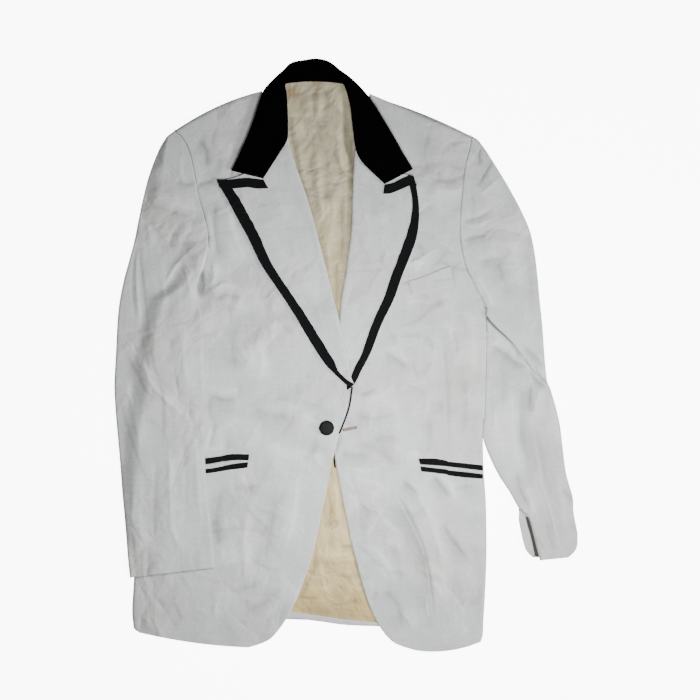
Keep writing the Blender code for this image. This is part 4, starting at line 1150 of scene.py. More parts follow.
def cut_lengths(spots):
    """Distance over the cloth from its middle column and from its first line."""
    across = np.linalg.norm(np.diff(spots, axis=1), axis=2)
    across = np.concatenate([np.zeros((len(spots), 1)), np.cumsum(across, axis=1)], axis=1)
    middle = spots.shape[1] // 2
    across = across - across[:, middle:middle + 1]
    steps = np.linalg.norm(np.diff(spots[:, middle], axis=0), axis=1)
    along = np.concatenate([[0.0], np.cumsum(steps)])
    return np.stack([across, np.broadcast_to(along[:, None], across.shape)], axis=2)


def edge_block(fold, reach, tuck, allowance=-SEAM_TUCK):
    """Insets and shares of the height from under a panel round to its upper face. fold is 1 where
    the panel folds round its side and 0 where it is sewn or cut there. A seam allowance reaches
    out under the next panel."""
    fold = fold[:, None]
    turn = np.radians(FOLD_ANGLES)[None, :]
    share = (1 + np.sin(turn)) / 2
    folded = reach * (1 - np.cos(turn))
    sewn = EDGE_START + SEAM_ROUND * (1 - np.sqrt(1 - share * share))
    inset = blend(sewn, folded, fold)
    tucked = np.array(TUCK_SHARES)[None, :]
    under = blend(EDGE_START - allowance * tucked, blend(reach, tuck, tucked), fold)
    share = np.broadcast_to(share, inset.shape)
    below = blend(-SEAM_TUCK * tucked, 0.0, fold)
    return np.concatenate([under, inset], axis=1), np.concatenate([below, share], axis=1)


def side_to_edge(width, fold, reach, tuck, step):
    """Insets and shares of the height across a panel that is folded or sewn at its first side and
    pressed at its other edge."""
    block, share = edge_block(fold, reach, tuck)
    count = int(np.median(width) / step)
    start = blend(EDGE_START + SEAM_ROUND, reach, fold)
    middle = (width - start - NEAR_EDGE[-1])[:, None] * np.linspace(0, 1, count + 1)[None, 1:]
    end = width[:, None] - np.array(NEAR_EDGE[-2::-1])[None, :]
    inset = np.concatenate([block, start[:, None] + middle, end], axis=1)
    return inset, np.concatenate([share, np.ones((len(width), count + end.shape[1]))], axis=1)


def front(name, rows, nodes):
    """Front with its side folded under, sewn at the armhole, and pressed edges at closing and hem."""
    place, marks, length = lines_down(rows, FRONT_STEPS[name], NEAR_EDGE, NEAR_EDGE)
    width = width_of(rows, place) - section(rows, place)[5]
    fold = np.clip((place - FRONT_ROUNDS_FROM) / FRONT_ROUNDS_OVER, 0, 1)
    inset, share = side_to_edge(width, fold, SIDE_FOLD, SIDE_TUCK, FRONT_STEPS[name])
    x, y, _ = plan(rows, place, inset)
    top = front_face(rows, x, y)
    height = top - (1 - share) * blend(SEAM_FALL, top, fold[:, None])
    height = height - fallen(width[:, None] - inset, PRESSED_ROUND, PRESSED_FALL)
    height = height - share * fallen((length - marks)[:, None], PRESSED_ROUND, PRESSED_FALL)
    foot = back_top(x, y) + FRONT_CLOTH + SEAM
    height = np.where(share == 1, np.maximum(height, foot), height)
    height = blend(height, np.minimum(foot, height), fallen(marks[:, None], CROWN_REACH, 1.0))
    return cloth(name, (x, y, height), FRONT_CLOTH, "cloth", nodes, front_relief(rows, x, y))


def flat_panel(
        name, rows, top, wall, slot, nodes, step=BACK_STEP, near=PANEL_NEAR, edge=PANEL_EDGE, loose=None):
    """Sheet over a table of sections on a height rule, with its cut edges a little rounded. loose gives how
    far it stands proud of the calm cloth, which its finish also turns into painted shade and highlight."""
    fine = (0.0,) + near[1:]
    place, marks, length = lines_down(rows, step, fine, fine)
    width = width_of(rows, place)
    count = max(2, int(math.ceil((np.median(width) - 2 * near[-1]) / step)))
    inset = columns_across(width, count, near, near)
    x, y, _ = plan(rows, place, inset)
    distance = np.minimum(inset - near[0], width[:, None] - inset - near[0])
    distance = np.minimum(distance, np.minimum(marks, length - marks)[:, None])
    height = top(x, y) - fallen(distance, *edge)
    return cloth(name, (x, y, height), wall, slot, nodes, loose(x, y) if loose else None)


def elbow_lines(place, marks):
    """Lines of a sleeve with the lap's own lines put in after its row."""
    before = place <= ELBOW_ROW
    after = place > ELBOW_ROW + 1
    lap = np.array(ELBOW_LAP)
    places = np.concatenate([place[before], np.full(len(lap), ELBOW_ROW + 0.5), place[after]])
    offset = np.concatenate([np.zeros(before.sum()), lap[:, 0], np.zeros(after.sum())])
    share = np.concatenate([np.ones(before.sum()), lap[:, 1], np.zeros(after.sum())])
    return places, np.interp(places, place, marks), offset, share


def sleeve_top(name, rows, rest, armhole_rows, creases, waves, nodes, lapped=False):
    """Top sleeve, folded round at its outer edge and, below the armhole, at its inner one. A lapped
    one is folded over itself at the elbow."""
    place, marks, length = lines_down(rows, SLEEVE_STEP, NEAR_EDGE, NEAR_EDGE)
    calm, gain = 1.0, 1.0
    if lapped:
        place, marks, lap_offset, lap_share = elbow_lines(place, marks)
    values = section(rows, place)
    outer_top, inner_top = values[4][:, None], values[5][:, None]
    if lapped:
        upper, lower = (section(rows, np.array([row + 0.0]))[4:6] for row in (ELBOW_ROW, ELBOW_ROW + 1))
        inside = (np.abs(place - ELBOW_ROW - 0.5) < 0.01)[:, None]
        outer_top = np.where(inside, blend(lower[0], upper[0], lap_share[:, None]), outer_top)
        inner_top = np.where(inside, blend(lower[1], upper[1], lap_share[:, None]), inner_top)
    width = width_of(rows, place)
    reach = min(SLEEVE_FOLD, SLEEVE_FOLD_MOST * width.min())
    tuck = min(SLEEVE_TUCK, SLEEVE_TUCK_MOST * width.min())
    fold = np.clip(place - armhole_rows, 0, 1)
    outer, outer_share = edge_block(np.ones(len(place)), reach, tuck)
    inner, inner_share = edge_block(fold, reach, tuck, SEAM_ALLOWANCE)
    count = int(np.median(width) / SLEEVE_STEP)
    end = blend(EDGE_START + SEAM_ROUND, reach, fold)
    middle = reach + (width - reach - end)[:, None] * np.linspace(0, 1, count + 1)[None, 1:-1]
    inset = np.concatenate([outer, middle, width[:, None] - inner[:, ::-1]], axis=1)
    share = np.concatenate([outer_share, np.ones((len(place), count - 1)), inner_share[:, ::-1]], axis=1)
    x, y, across = plan(edges(rows), place, inset)
    if lapped:
        far = (marks - np.interp(ELBOW_ROW + 0.5, place, marks))[:, None]
        lift = 1 - smooth((across - ELBOW_LIFT_TO) / ELBOW_LIFT_FADE)
        lift = np.exp(-(far / ELBOW_LIFT_REACH) ** 2) * lift
        lap = lap_offset[:, None] * ELBOW_REACH * smooth(across / ELBOW_LAP_FROM) - ELBOW_LIFT * lift
        x, y = x + lap * ELBOW_WAY[0], y + lap * ELBOW_WAY[1]
        calm, gain = 1 - LAP_CALM * (np.abs(lap_offset[:, None]) > 0), ELBOW_GAIN
    body = blend(outer_top, inner_top, smooth(across / SLEEVE_SWELL))
    loose = calm * gain * relief(creases, x, y) + calm * unrest(waves, x, y)
    body = np.maximum(body + loose, LEAST_SLEEVE)
    # Painted shadow in the lap's folded lines and on the forearm just past the lap
    if lapped:
        shaded = (lap_share[:, None] < LAP_SHADED[1]) & (lap_share[:, None] > LAP_SHADED[0])
        beyond = (place > ELBOW_ROW + 1)[:, None] * (1 - smooth((far - GAP_NEAR) / GAP_REACH))
        loose = loose - LAP_SHADE * (inside & shaded)
        loose = loose - GAP_SHADE * beyond * smooth((across - GAP_FROM) / GAP_FADE)
    # Painted shade along the inner seam below the armhole, and the sleeve's relief turned into painted shade
    # and highlight
    near_seam = fold[:, None] * np.exp((inset - width[:, None]) / EDGE_SHADE_REACH)
    loose = SLEEVE_TINT * loose - EDGE_SHADE * near_seam
    drop = np.where(inset > width[:, None] / 2, blend(SEAM_FALL, body, fold[:, None]), body)
    height = body - (1 - share) * drop
    height = height - share * fallen((length - marks)[:, None], PRESSED_ROUND, PRESSED_FALL)
    height = blend(height, np.minimum(SLEEVE_FOOT, height), fallen(marks[:, None], CROWN_REACH, 1.0))
    return cloth(name, (x, y, rest(x, y) + height), CLOTH_WALL, "cloth", nodes, loose)


def sleeve_under(name, rows, rest, armhole_rows, nodes, open_row=None):
    """Under sleeve, between the tucks of the top sleeve, and as wide as its table past the row where
    its seam is open."""
    place, _, _ = lines_down(rows, UNDER_STEP)
    width = width_of(rows, place)
    tuck = min(SLEEVE_TUCK, SLEEVE_TUCK_MOST * width.min()) + SEAM
    fold = np.clip(place - armhole_rows, 0, 1)
    if open_row:
        fold = fold * (1 - np.clip(place - open_row, 0, 1))
    end = blend(SEAM, tuck, fold)
    count = int(np.median(width) / UNDER_STEP)
    inset = tuck + (width - tuck - end)[:, None] * np.linspace(0, 1, count + 1)[None, :]
    x, y, _ = plan(edges(rows), place, inset)
    return cloth(name, (x, y, rest(x, y) + CLOTH_WALL), CLOTH_WALL, "cloth", nodes)


def roll_of(rows, panel, place):
    """Width of a lapel, and the under height, upper height and radius of its roll, along its lines."""
    width = width_of(rows, place)[:, None]
    x, y, _ = plan(rows, place, width)
    rest = front_rest(panel, x, y)
    under, top = rest - FRONT_WALL, rest + LAPEL_LIFT + LAPEL_WALL
    return width, under, top, (top - under) / 2


def lapel_surface(rows, panel, place, marks, inset):
    """X, Y and height of points of a lapel between its outer edge and its roll."""
    width, _, top, radius = roll_of(rows, panel, place)
    x, y, _ = plan(rows, place, inset)
    toward_roll = smooth((inset - (width - radius - ROLL_SETTLE)) / ROLL_SETTLE)
    height = blend(lapel_face(panel, x, y), top, toward_roll)
    # The roll springs up along its middle rows
    row = place[:, None]
    spring = ROLL_SPRING * smooth((row - 3) / 2) * smooth((len(rows) - 1.5 - row) / 3)
    height = height + spring * np.exp(-((width - inset - ROLL_SETTLE) / ROLL_SETTLE) ** 2)
    height = height - fallen(inset, LAPEL_ROUND, LAPEL_FALL) - fallen(marks[:, None], LAPEL_ROUND, LAPEL_FALL)
    return x, y, height


def lapel(name, rows, panel, nodes):
    """Lapel from its outer edge, over the roll, to the edge of the front under it."""
    place, marks, _ = lines_down(rows, LAPEL_STEP, NEAR_EDGE, NEAR_EDGE[:3])
    width, under, _, radius = roll_of(rows, panel, place)
    near = (LAPEL_START,) + NEAR_EDGE[1:]
    count = int(np.median(width) / LAPEL_STEP)
    middle = near[-1] + (width - radius - near[-1]) * np.linspace(0, 1, count + 1)[None, :]
    inset = np.concatenate([np.tile(near[:-1], (len(place), 1)), middle], axis=1)
    face = lapel_surface(rows, panel, place, marks, inset)
    turn = np.radians(ROLL_ANGLES)[None, :]
    turned = width - radius + radius * np.cos(turn)
    turned_height = under + radius + radius * np.sin(turn)
    back = width - radius - np.array([[ROLL_RETURN, 2 * ROLL_RETURN]])
    roll_x, roll_y, _ = plan(rows, place, np.concatenate([turned, back], axis=1))
    roll = roll_x, roll_y, np.concatenate([turned_height, np.tile(under, (1, 2))], axis=1)
    x, y, height = (np.concatenate(pair, axis=1) for pair in zip(face, roll))
    return cloth(name, (x, y, height), LAPEL_CLOTH, "cloth", nodes, lapel_relief(panel, x, y))


def lapel_braid(name, rows, panel, nodes):
    """Braid along a lapel's outer edge, on the lapel's own points."""
    place, marks, length = lines_down(rows, STRIP_STEP, BRAID_ENDS, BRAID_ENDS)
    width = np.minimum(section(rows, place)[5], BRAID_WIDEST * width_of(rows, place))
    width = width + BRAID_WAVER * rumple(marks, 0 * marks, BRAID_WAVE, len(name))
    inset = columns_across(width, BRAID_COLUMNS, *BRAID_NEAR)
    unrounded = np.full(len(place), np.inf)
    x, y, height = lapel_surface(rows, panel, place, unrounded, inset)
    distance = np.minimum(inset, width[:, None] - inset)
    distance = np.minimum(distance, np.minimum(marks, length - marks)[:, None])
    height = height + LAYER_GAP + BRAID_WALL - fallen(distance, *BRAID_EDGE)
    return cloth(name, (x, y, height), BRAID_CLOTH, "braid", nodes)


def collar(name, rows, nodes):
    """Velvet band, free over the fronts and folded down behind the neck to its fall."""
    place, marks, length = lines_down(rows, STEP, NEAR_EDGE, NEAR_EDGE)
    values = section(rows, place)
    width = width_of(rows, place)
    behind = smooth((place - NECK_ROWS[0]) / 2) * smooth((NECK_ROWS[1] - place) / 2)
    inset, share = side_to_edge(width, behind, COLLAR_FOLD, COLLAR_TUCK, STEP)
    x, y, across = plan(edges(rows), place, inset)
    top = blend(values[4][:, None], values[5][:, None], across)
    top = top + relief(COLLAR_CREASES, x, y) + unrest(COLLAR_UNREST, x, y)
    top = top + COLLAR_SWELL * np.sin(math.pi * np.clip(across, 0, 1)) * (1 - behind[:, None])
    height = top - (1 - share) * blend(COLLAR_FALLS, top, behind[:, None])
    height = height - fallen(width[:, None] - inset, COLLAR_ROUND, COLLAR_DROP)
    height = height - share * fallen(np.minimum(marks, length - marks)[:, None], PRESSED_ROUND, PRESSED_FALL)
    return cloth(name, (x, y, height), COLLAR_CLOTH, "velvet", nodes)


def lining_loose(x, y):
    return relief(LINING_CREASES, x, y) + unrest(LINING_UNREST, x, y)


def lining_face(x, y):
    """Lining with its pleat and wrinkles where the fronts leave it bare."""
    inside = np.minimum(x - edge_at(FRONT_RIGHT, 2, y), edge_at(FRONT_LEFT, 2, y) - x)
    hem = np.interp(x, [row[2] for row in BACK_HEM], [row[3] for row in BACK_HEM])
    bare = smooth((inside + 1) / LINING_CLEAR) * smooth((y - hem - 1) / HEM_CLEAR)
    height = back_top(x, y) + LINING_GAP + LINING_WALL + bare * (LINING_LOOSE + lining_loose(x, y))
    return np.maximum(height, back_top(x, y) + LINING_WALL + LINING_LEAST)


def hem_face(x, y):
    return back_top(x, y) + LINING_GAP + 2 * LINING_WALL + unrest(HEM_UNREST, x, y)


def on_surface(x, y):
    return on_table(x, y) + CLOTH_WALL


def vent_face(x, y):
    """Lap of the cuff vent, lying a little loose on the under sleeve."""
    return on_table(x, y) + FRONT_FOOT + SLEEVE_WALL + unrest(VENT_UNREST, x, y)


# Height of the dark sheet that is painted shade in the cuff vent's slot
def vent_shade_face(x, y):
    return on_table(x, y) + FRONT_FOOT + VENT_SHADE_LIFT


def on_front(panel, wall):
    """Height rule for a strip that lies on a front."""
    return lambda x, y: front_face(panel, x, y) + LAYER_GAP + wall


def on_lapel(panel, wall):
    """Height rule for a strip that lies on a lapel."""
    return lambda x, y: lapel_face(panel, x, y) + 1.5 * LAYER_GAP + wall


def strip(name, rows, top, wall, slot, nodes):
    """Narrow sheet over a table of sections, with rounded edges."""
    narrow = width_of(rows, np.arange(len(rows), dtype=float)).min() < NARROW
    near = STRIP_NEAR_NARROW if narrow else STRIP_NEAR
    return flat_panel(name, rows, top, wall, slot, nodes, STRIP_STEP, near, STRIP_EDGE)


def edging(name, points, panel, side, nodes):
    """Narrow braid just past a closing edge."""
    rows = [(x, y, x + side * EDGE_BRAID_WIDTH, y) for x, y in points]

    def top(_, y):
        return front_rest(panel, edge_at(panel, 2, y), y) - FRONT_WALL + BRAID_WALL + EDGE_BRAID_LIFT

    return strip(name, rows, top, BRAID_WALL, "braid", nodes)


def button(name, nodes):
    """Covered button: a rounded disc with a low dome, its cloth drawn tight over the rim."""
    x, y = BUTTON_CENTRE
    ring = np.radians(np.arange(0, 360, 15))
    seat = front_face(FRONT_RIGHT, x + BUTTON_RADIUS * np.cos(ring), y + BUTTON_RADIUS * np.sin(ring)).max()
    bm = bmesh.new()
    bmesh.ops.create_uvsphere(bm, u_segments=56, v_segments=28, radius=1.0)
    for vert in bm.verts:
        away = min(1.0, math.hypot(vert.co.x, vert.co.y))
        level = math.copysign(abs(vert.co.z) ** BUTTON_SQUARE, vert.co.z)
        dome = BUTTON_DOME * (1 - away * away) if level > 0 else 0.0
        spread = away ** BUTTON_RIM / away if away > 1e-4 else 0.0
        vert.co.x = x + vert.co.x * spread * BUTTON_RADIUS
        vert.co.y = y + vert.co.y * spread * BUTTON_RADIUS
        vert.co.z = seat + LAYER_GAP + (level + 1) / 2 * (BUTTON_HEIGHT - BUTTON_DOME) + dome
    bmesh.ops.scale(bm, vec=(MM, MM, MM), verts=bm.verts)
    return finished(name, bm, "button", nodes)


def buttonhole(name, nodes):
    """Worked buttonhole: close stitches over two lips with a slit between them, and two bar tacks."""
    (x_start, y_start), (x_end, y_end) = BUTTONHOLE
    length = math.hypot(x_end - x_start, y_end - y_start)
    way_x, way_y = (x_end - x_start) / length, (y_end - y_start) / length
    turn = Matrix.Rotation(math.atan2(way_y, way_x), 4, "Z")
    bm = bmesh.new()

    def stitch(far, off, size, sides, levels):
        """Rounded thread of a half size, at distances along the slit and beside it."""
        x, y = x_start + way_x * far - way_y * off, y_start + way_y * far + way_x * off
        z = float(front_face(FRONT_LEFT, np.array([x]), np.array([y]))[0]) + STITCH_HIGH
        place = Matrix.Translation((x, y, z)) @ turn @ Matrix.Diagonal((*size, 1))
        bmesh.ops.create_uvsphere(bm, u_segments=sides, v_segments=levels, radius=1.0, matrix=place)

    for index in range(int(length / STITCH_PITCH) + 1):
        for side in (-1, 1):
            off = side * STITCH_LONG * STITCH_APART
            stitch(index * STITCH_PITCH, off, (STITCH_WIDE, STITCH_LONG * STITCH_OVER, STITCH_HIGH), 8, 6)
    for far, long in ((-0.3, 1.0), (length + 0.2, 1.1)):
        stitch(far, 0.0, (TACK_WIDE, STITCH_LONG * long, STITCH_HIGH * TACK_HIGH), 10, 8)
    bmesh.ops.scale(bm, vec=(MM, MM, MM), verts=bm.verts)
    return finished(name, bm, "buttonhole", nodes)


# ---------------------------------------------------------------- finishes

def linear(code):
    """Linear colour of an sRGB hex value."""
    parts = [int(code[index:index + 2], 16) / 255 for index in (1, 3, 5)]
    return tuple(c / 12.92 if c <= 0.04045 else ((c + 0.055) / 1.055) ** 2.4 for c in parts) + (1.0,)


def add_node(tree, kind, inputs=None, **settings):
    """Adds a node, sets its properties, and sets or links its inputs."""
    made = tree.nodes.new(kind)
    for name, value in settings.items():
        setattr(made, name, value)
    for name, value in (inputs or {}).items():
        if isinstance(value, bpy.types.NodeSocket):
            tree.links.new(value, made.inputs[name])
        else:
            made.inputs[name].default_value = value
    return made


def new_finish(name):
    """Material and its node tree."""
    material = bpy.data.materials.new(name)
    material.use_nodes = True
    return material, material.node_tree


def dressed(material, settings, colour=None, bump=None):
    """The material, with the settings of its shader, and its colour and bump linked to it."""
    links = material.node_tree.links
    sockets = material.node_tree.nodes["Principled BSDF"].inputs
    for name, value in settings.items():
        sockets[name].default_value = value
    if colour is not None:
        links.new(colour, sockets["Base Color"])
    if bump is not None:
        links.new(bump.outputs["Normal"], sockets["Normal"])
    return material


def facets(tree, spot, drift, sizes):
    """Height of set-in crinkles: flat facets between sharp lines, carried about by a slow unrest.
    Each size is the facets to a metre and their share of the height."""
    slow = add_node(
        tree, "ShaderNodeTexNoise",
        {"Vector": spot.outputs["Object"], "Scale": 11.0, "Detail": 2.0, "Roughness": 0.5})
    carried = add_node(
        tree, "ShaderNodeVectorMath",
        {0: slow.outputs["Color"], 1: (drift, drift, 0.0), 2: spot.outputs["Object"]},
        operation="MULTIPLY_ADD")
    height = None
    for scale, share in sizes:
        cells = add_node(
            tree, "ShaderNodeTexVoronoi", {"Vector": carried.outputs["Vector"], "Scale": scale},
            feature="DISTANCE_TO_EDGE")
        height = add_node(
            tree, "ShaderNodeMath",
            {0: cells.outputs["Distance"], 1: share, 2: height.outputs["Value"] if height else 0.0},
            operation="MULTIPLY_ADD")
    return height


def dinner_cloth():
    """Fine plain-weave wool: a matte off-white with slubs both ways, faintly yellowed, with painted shade in
    its creases and a painted highlight on its crests."""
    material, tree = new_finish("white wool dinner cloth")
    cut = add_node(tree, "ShaderNodeUVMap", uv_map="cut")
    spot = add_node(tree, "ShaderNodeTexCoord")
    # Threads 1 mm apart and slubs 4 mm thick, as 0.3 mm threads are too fine to show
    woven = None
    for across, along, share in ((180, 900, 0.3), (900, 220, 0.3), (28, 260, 0.2), (240, 26, 0.2)):
        turned = add_node(
            tree, "ShaderNodeMapping", {"Vector": cut.outputs["UV"], "Scale": (across, along, 1.0)})
        threads = add_node(
            tree, "ShaderNodeTexNoise",
            {"Vector": turned.outputs["Vector"], "Scale": 1.0, "Detail": 3.0, "Roughness": 0.6})
        woven = add_node(
            tree, "ShaderNodeMath",
            {0: threads.outputs["Fac"], 1: share, 2: woven.outputs["Value"] if woven else 0.0},
            operation="MULTIPLY_ADD")
    tone = add_node(
        tree, "ShaderNodeMapRange",
        {"Value": woven.outputs["Value"], "From Min": 0.4, "From Max": 0.6, "To Min": 0.0, "To Max": 1.0})
    coloured = add_node(
        tree, "ShaderNodeMix",
        {"Factor": tone.outputs["Result"], "A": linear("#C2C5C5"), "B": linear("#D8DAD9")}, data_type="RGBA")
    blotch = add_node(
        tree, "ShaderNodeTexNoise",
        {"Vector": spot.outputs["Object"], "Scale": 9.0, "Detail": 4.0, "Roughness": 0.5})
    ageing = add_node(
        tree, "ShaderNodeMapRange",
        {"Value": blotch.outputs["Fac"], "From Min": 0.5, "From Max": 0.8, "To Min": 0.0, "To Max": 0.6})
    aged = add_node(
        tree, "ShaderNodeMix",
        {"Factor": ageing.outputs["Result"], "A": coloured.outputs["Result"], "B": linear("#C6C5BD")},
        data_type="RGBA")
    # Painted shade darkens the creases, the elbow lap and the sleeves' seams, and a painted highlight
    # lightens the crests, from the relief attribute
    relief_shade = add_node(tree, "ShaderNodeAttribute", attribute_name="relief_shade")
    crease_shade = add_node(
        tree, "ShaderNodeMapRange",
        {"Value": relief_shade.outputs["Fac"], "From Min": -6.2, "From Max": 1.2, "To Min": 0.1, "To Max": 1.18})
    crease_shaded = add_node(
        tree, "ShaderNodeMix", {"Factor": 1.0, "A": aged.outputs["Result"], "B": crease_shade.outputs["Result"]},
        data_type="RGBA", blend_type="MULTIPLY")
    # Crinkles set into the cloth, clearer in some places
    patches = add_node(
        tree, "ShaderNodeMapRange",
        {"Value": blotch.outputs["Fac"], "From Min": 0.42, "From Max": 0.62, "To Min": 0.25, "To Max": 1.0})
    crinkled = facets(tree, spot, 0.075, ((17.0, 1.0), (41.0, 0.3)))
    patched = add_node(
        tree, "ShaderNodeMath", {0: crinkled.outputs["Value"], 1: patches.outputs["Result"]},
        operation="MULTIPLY")
    crinkles = add_node(
        tree, "ShaderNodeBump", {"Height": patched.outputs["Value"], "Strength": 1.0, "Distance": 0.0078})
    bump = add_node(
        tree, "ShaderNodeBump",
        {"Height": woven.outputs["Value"], "Strength": 0.35, "Distance": 0.0006,
         "Normal": crinkles.outputs["Normal"]})
    return dressed(
        material,
        {"Roughness": 0.92, "Specular IOR Level": 0.15, "Sheen Weight": 0.05,
         "Sheen Roughness": 0.5},
        crease_shaded.outputs["Result"], bump)


def black_velvet():
    """Cotton velvet: almost no light back from above, a faint glow of the nap at a slant."""
    material, tree = new_finish("black cotton velvet")
    spot = add_node(tree, "ShaderNodeTexCoord")
    nap = add_node(
        tree, "ShaderNodeTexNoise",
        {"Vector": spot.outputs["Object"], "Scale": 45.0, "Detail": 5.0, "Roughness": 0.6})
    pile = add_node(
        tree, "ShaderNodeTexNoise", {"Vector": spot.outputs["Object"], "Scale": 900.0, "Detail": 2.0})
    brushed = add_node(
        tree, "ShaderNodeMix", {"Factor": nap.outputs["Fac"], "A": linear("#010101"), "B": linear("#050505")},
        data_type="RGBA")
    bump = add_node(
        tree, "ShaderNodeBump", {"Height": pile.outputs["Fac"], "Strength": 0.5, "Distance": 0.0006})
    return dressed(
        material,
        {"Roughness": 1.0, "Specular IOR Level": 0.02, "Sheen Weight": 0.004,
         "Sheen Roughness": 0.3},
        brushed.outputs["Result"], bump)


def ribbed_braid():
    """Mohair braid: charcoal black, with close ribs across it that give a dull grey edge."""
    material, tree = new_finish("black ribbed braid")
    cut = add_node(tree, "ShaderNodeUVMap", uv_map="cut")
    # Ribs 1.1 mm apart along the braid
    along = add_node(
        tree, "ShaderNodeMapping", {"Vector": cut.outputs["UV"], "Scale": (140.0, 900.0, 1.0)})
    rib = add_node(
        tree, "ShaderNodeTexWave",
        {"Vector": along.outputs["Vector"], "Scale": 0.32, "Distortion": 1.2, "Detail": 2.0,
         "Detail Scale": 2.0},
        wave_type="BANDS", bands_direction="Y", wave_profile="SIN")
    fuzz = add_node(
        tree, "ShaderNodeTexNoise", {"Vector": along.outputs["Vector"], "Scale": 1.0, "Detail": 3.0})
    shade = add_node(
        tree, "ShaderNodeMath", {0: rib.outputs["Fac"], 1: fuzz.outputs["Fac"]}, operation="MULTIPLY")
    coloured = add_node(
        tree, "ShaderNodeMix",
        {"Factor": shade.outputs["Value"], "A": linear("#0A0B0C"), "B": linear("#1B1D1F")},
        data_type="RGBA")
    bump = add_node(
        tree, "ShaderNodeBump", {"Height": rib.outputs["Fac"], "Strength": 0.6, "Distance": 0.0004})
    return dressed(material, {"Roughness": 0.8, "Specular IOR Level": 0.08}, coloured.outputs["Result"], bump)


def satin_lining():
    """Acetate satin gone cream with age: a low sheen, foxed brown at the neck and at the hem."""
    material, tree = new_finish("cream satin lining")
    spot = add_node(tree, "ShaderNodeTexCoord")
    split = add_node(tree, "ShaderNodeSeparateXYZ", {"Vector": spot.outputs["Object"]})
    down = add_node(
        tree, "ShaderNodeMapRange",
        {"Value": split.outputs["Y"], "From Min": 0.38, "From Max": -0.38, "To Min": 0.0, "To Max": 1.0})
    ageing = add_node(tree, "ShaderNodeValToRGB", {"Fac": down.outputs["Result"]})
    ramp = ageing.color_ramp
    while len(ramp.elements) < len(LINING_TONES):
        ramp.elements.new(0.5)
    for element, (place, code) in zip(ramp.elements, LINING_TONES):
        element.position = place
        element.color = linear(code)
    blotch = add_node(
        tree, "ShaderNodeTexNoise",
        {"Vector": spot.outputs["Object"], "Scale": 16.0, "Detail": 5.0, "Roughness": 0.6})
    foxing = add_node(
        tree, "ShaderNodeMapRange",
        {"Value": blotch.outputs["Fac"], "From Min": 0.52, "From Max": 0.72, "To Min": 0.0, "To Max": 0.35})
    coloured = add_node(
        tree, "ShaderNodeMix",
        {"Factor": foxing.outputs["Result"], "A": ageing.outputs["Color"], "B": linear("#B9A574")},
        data_type="RGBA")
    # Painted shade darkens the lining in its wrinkles and along the fronts' edges, and a painted highlight
    # lightens the crests, from the relief attribute
    relief_shade = add_node(tree, "ShaderNodeAttribute", attribute_name="relief_shade")
    crease_shade = add_node(
        tree, "ShaderNodeMapRange",
        {"Value": relief_shade.outputs["Fac"], "From Min": -4.0, "From Max": 2.0, "To Min": 0.45, "To Max": 1.2})
    result = add_node(
        tree, "ShaderNodeMix", {"Factor": 1.0, "A": coloured.outputs["Result"], "B": crease_shade.outputs["Result"]},
        data_type="RGBA", blend_type="MULTIPLY")
    for x, y, radius, strength, code in LINING_STAINS:
        centre = add_node(
            tree, "ShaderNodeVectorMath",
            {0: spot.outputs["Object"], 1: (x * MM, y * MM, STAIN_LEVEL * MM)}, operation="DISTANCE")
        ragged = add_node(
            tree, "ShaderNodeMath", {0: blotch.outputs["Fac"], 1: radius * MM, 2: centre.outputs["Value"]},
            operation="MULTIPLY_ADD")
        faded = add_node(
            tree, "ShaderNodeMapRange",
            {"Value": ragged.outputs["Value"], "From Min": radius * MM * 0.7, "From Max": radius * MM * 1.6,
             "To Min": strength, "To Max": 0.0}, interpolation_type="SMOOTHSTEP")
        result = add_node(
            tree, "ShaderNodeMix",
            {"Factor": faded.outputs["Result"], "A": result.outputs["Result"], "B": linear(code)},
            data_type="RGBA")
    crinkle = add_node(
        tree, "ShaderNodeTexNoise",
        {"Vector": spot.outputs["Object"], "Scale": 70.0, "Detail": 5.0, "Roughness": 0.55,
         "Distortion": 0.6})
    crisp = add_node(
        tree, "ShaderNodeBump",
        {"Height": facets(tree, spot, 0.05, ((36.0, 1.0), (85.0, 0.4))).outputs["Value"], "Strength": 1.0,
         "Distance": 0.003})
    bump = add_node(
        tree, "ShaderNodeBump",
        {"Height": crinkle.outputs["Fac"], "Strength": 0.35, "Distance": 0.003,
         "Normal": crisp.outputs["Normal"]})
    return dressed(material, {"Roughness": 0.48, "Specular IOR Level": 0.4}, result.outputs["Result"], bump)


def covered_button():
    """Black worsted drawn over the button: a fine twill that is a little worn on the dome."""
    material, tree = new_finish("black covered button")
    spot = add_node(tree, "ShaderNodeTexCoord")
    # Twill ridges 0.9 mm apart
    twill = add_node(
        tree, "ShaderNodeTexWave",
        {"Vector": spot.outputs["Object"], "Scale": 350.0, "Distortion": 0.6, "Detail": 1.0},
        bands_direction="DIAGONAL")
    worn = add_node(
        tree, "ShaderNodeTexNoise", {"Vector": spot.outputs["Object"], "Scale": 180.0, "Detail": 3.0})
    coloured = add_node(
        tree, "ShaderNodeMix",
        {"Factor": worn.outputs["Fac"], "A": linear("#0A0B0B"), "B": linear("#151716")},
        data_type="RGBA")
    bump = add_node(
        tree, "ShaderNodeBump", {"Height": twill.outputs["Fac"], "Strength": 0.4, "Distance": 0.0002})
    return dressed(material, {"Roughness": 0.6, "Specular IOR Level": 0.14}, coloured.outputs["Result"], bump)


def buttonhole_twist():
    """Silk twist: a dull tan thread, its strands mixed between dark brown and a light pinkish tan."""
    material, tree = new_finish("tan buttonhole twist")
    spot = add_node(tree, "ShaderNodeTexCoord")
    strands = add_node(
        tree, "ShaderNodeTexNoise", {"Vector": spot.outputs["Object"], "Scale": 900.0, "Detail": 2.0})
    coloured = add_node(
        tree, "ShaderNodeMix",
        {"Factor": strands.outputs["Fac"], "A": linear("#573A2B"), "B": linear("#A07A66")},
        data_type="RGBA")
    return dressed(material, {"Roughness": 0.7}, coloured.outputs["Result"])


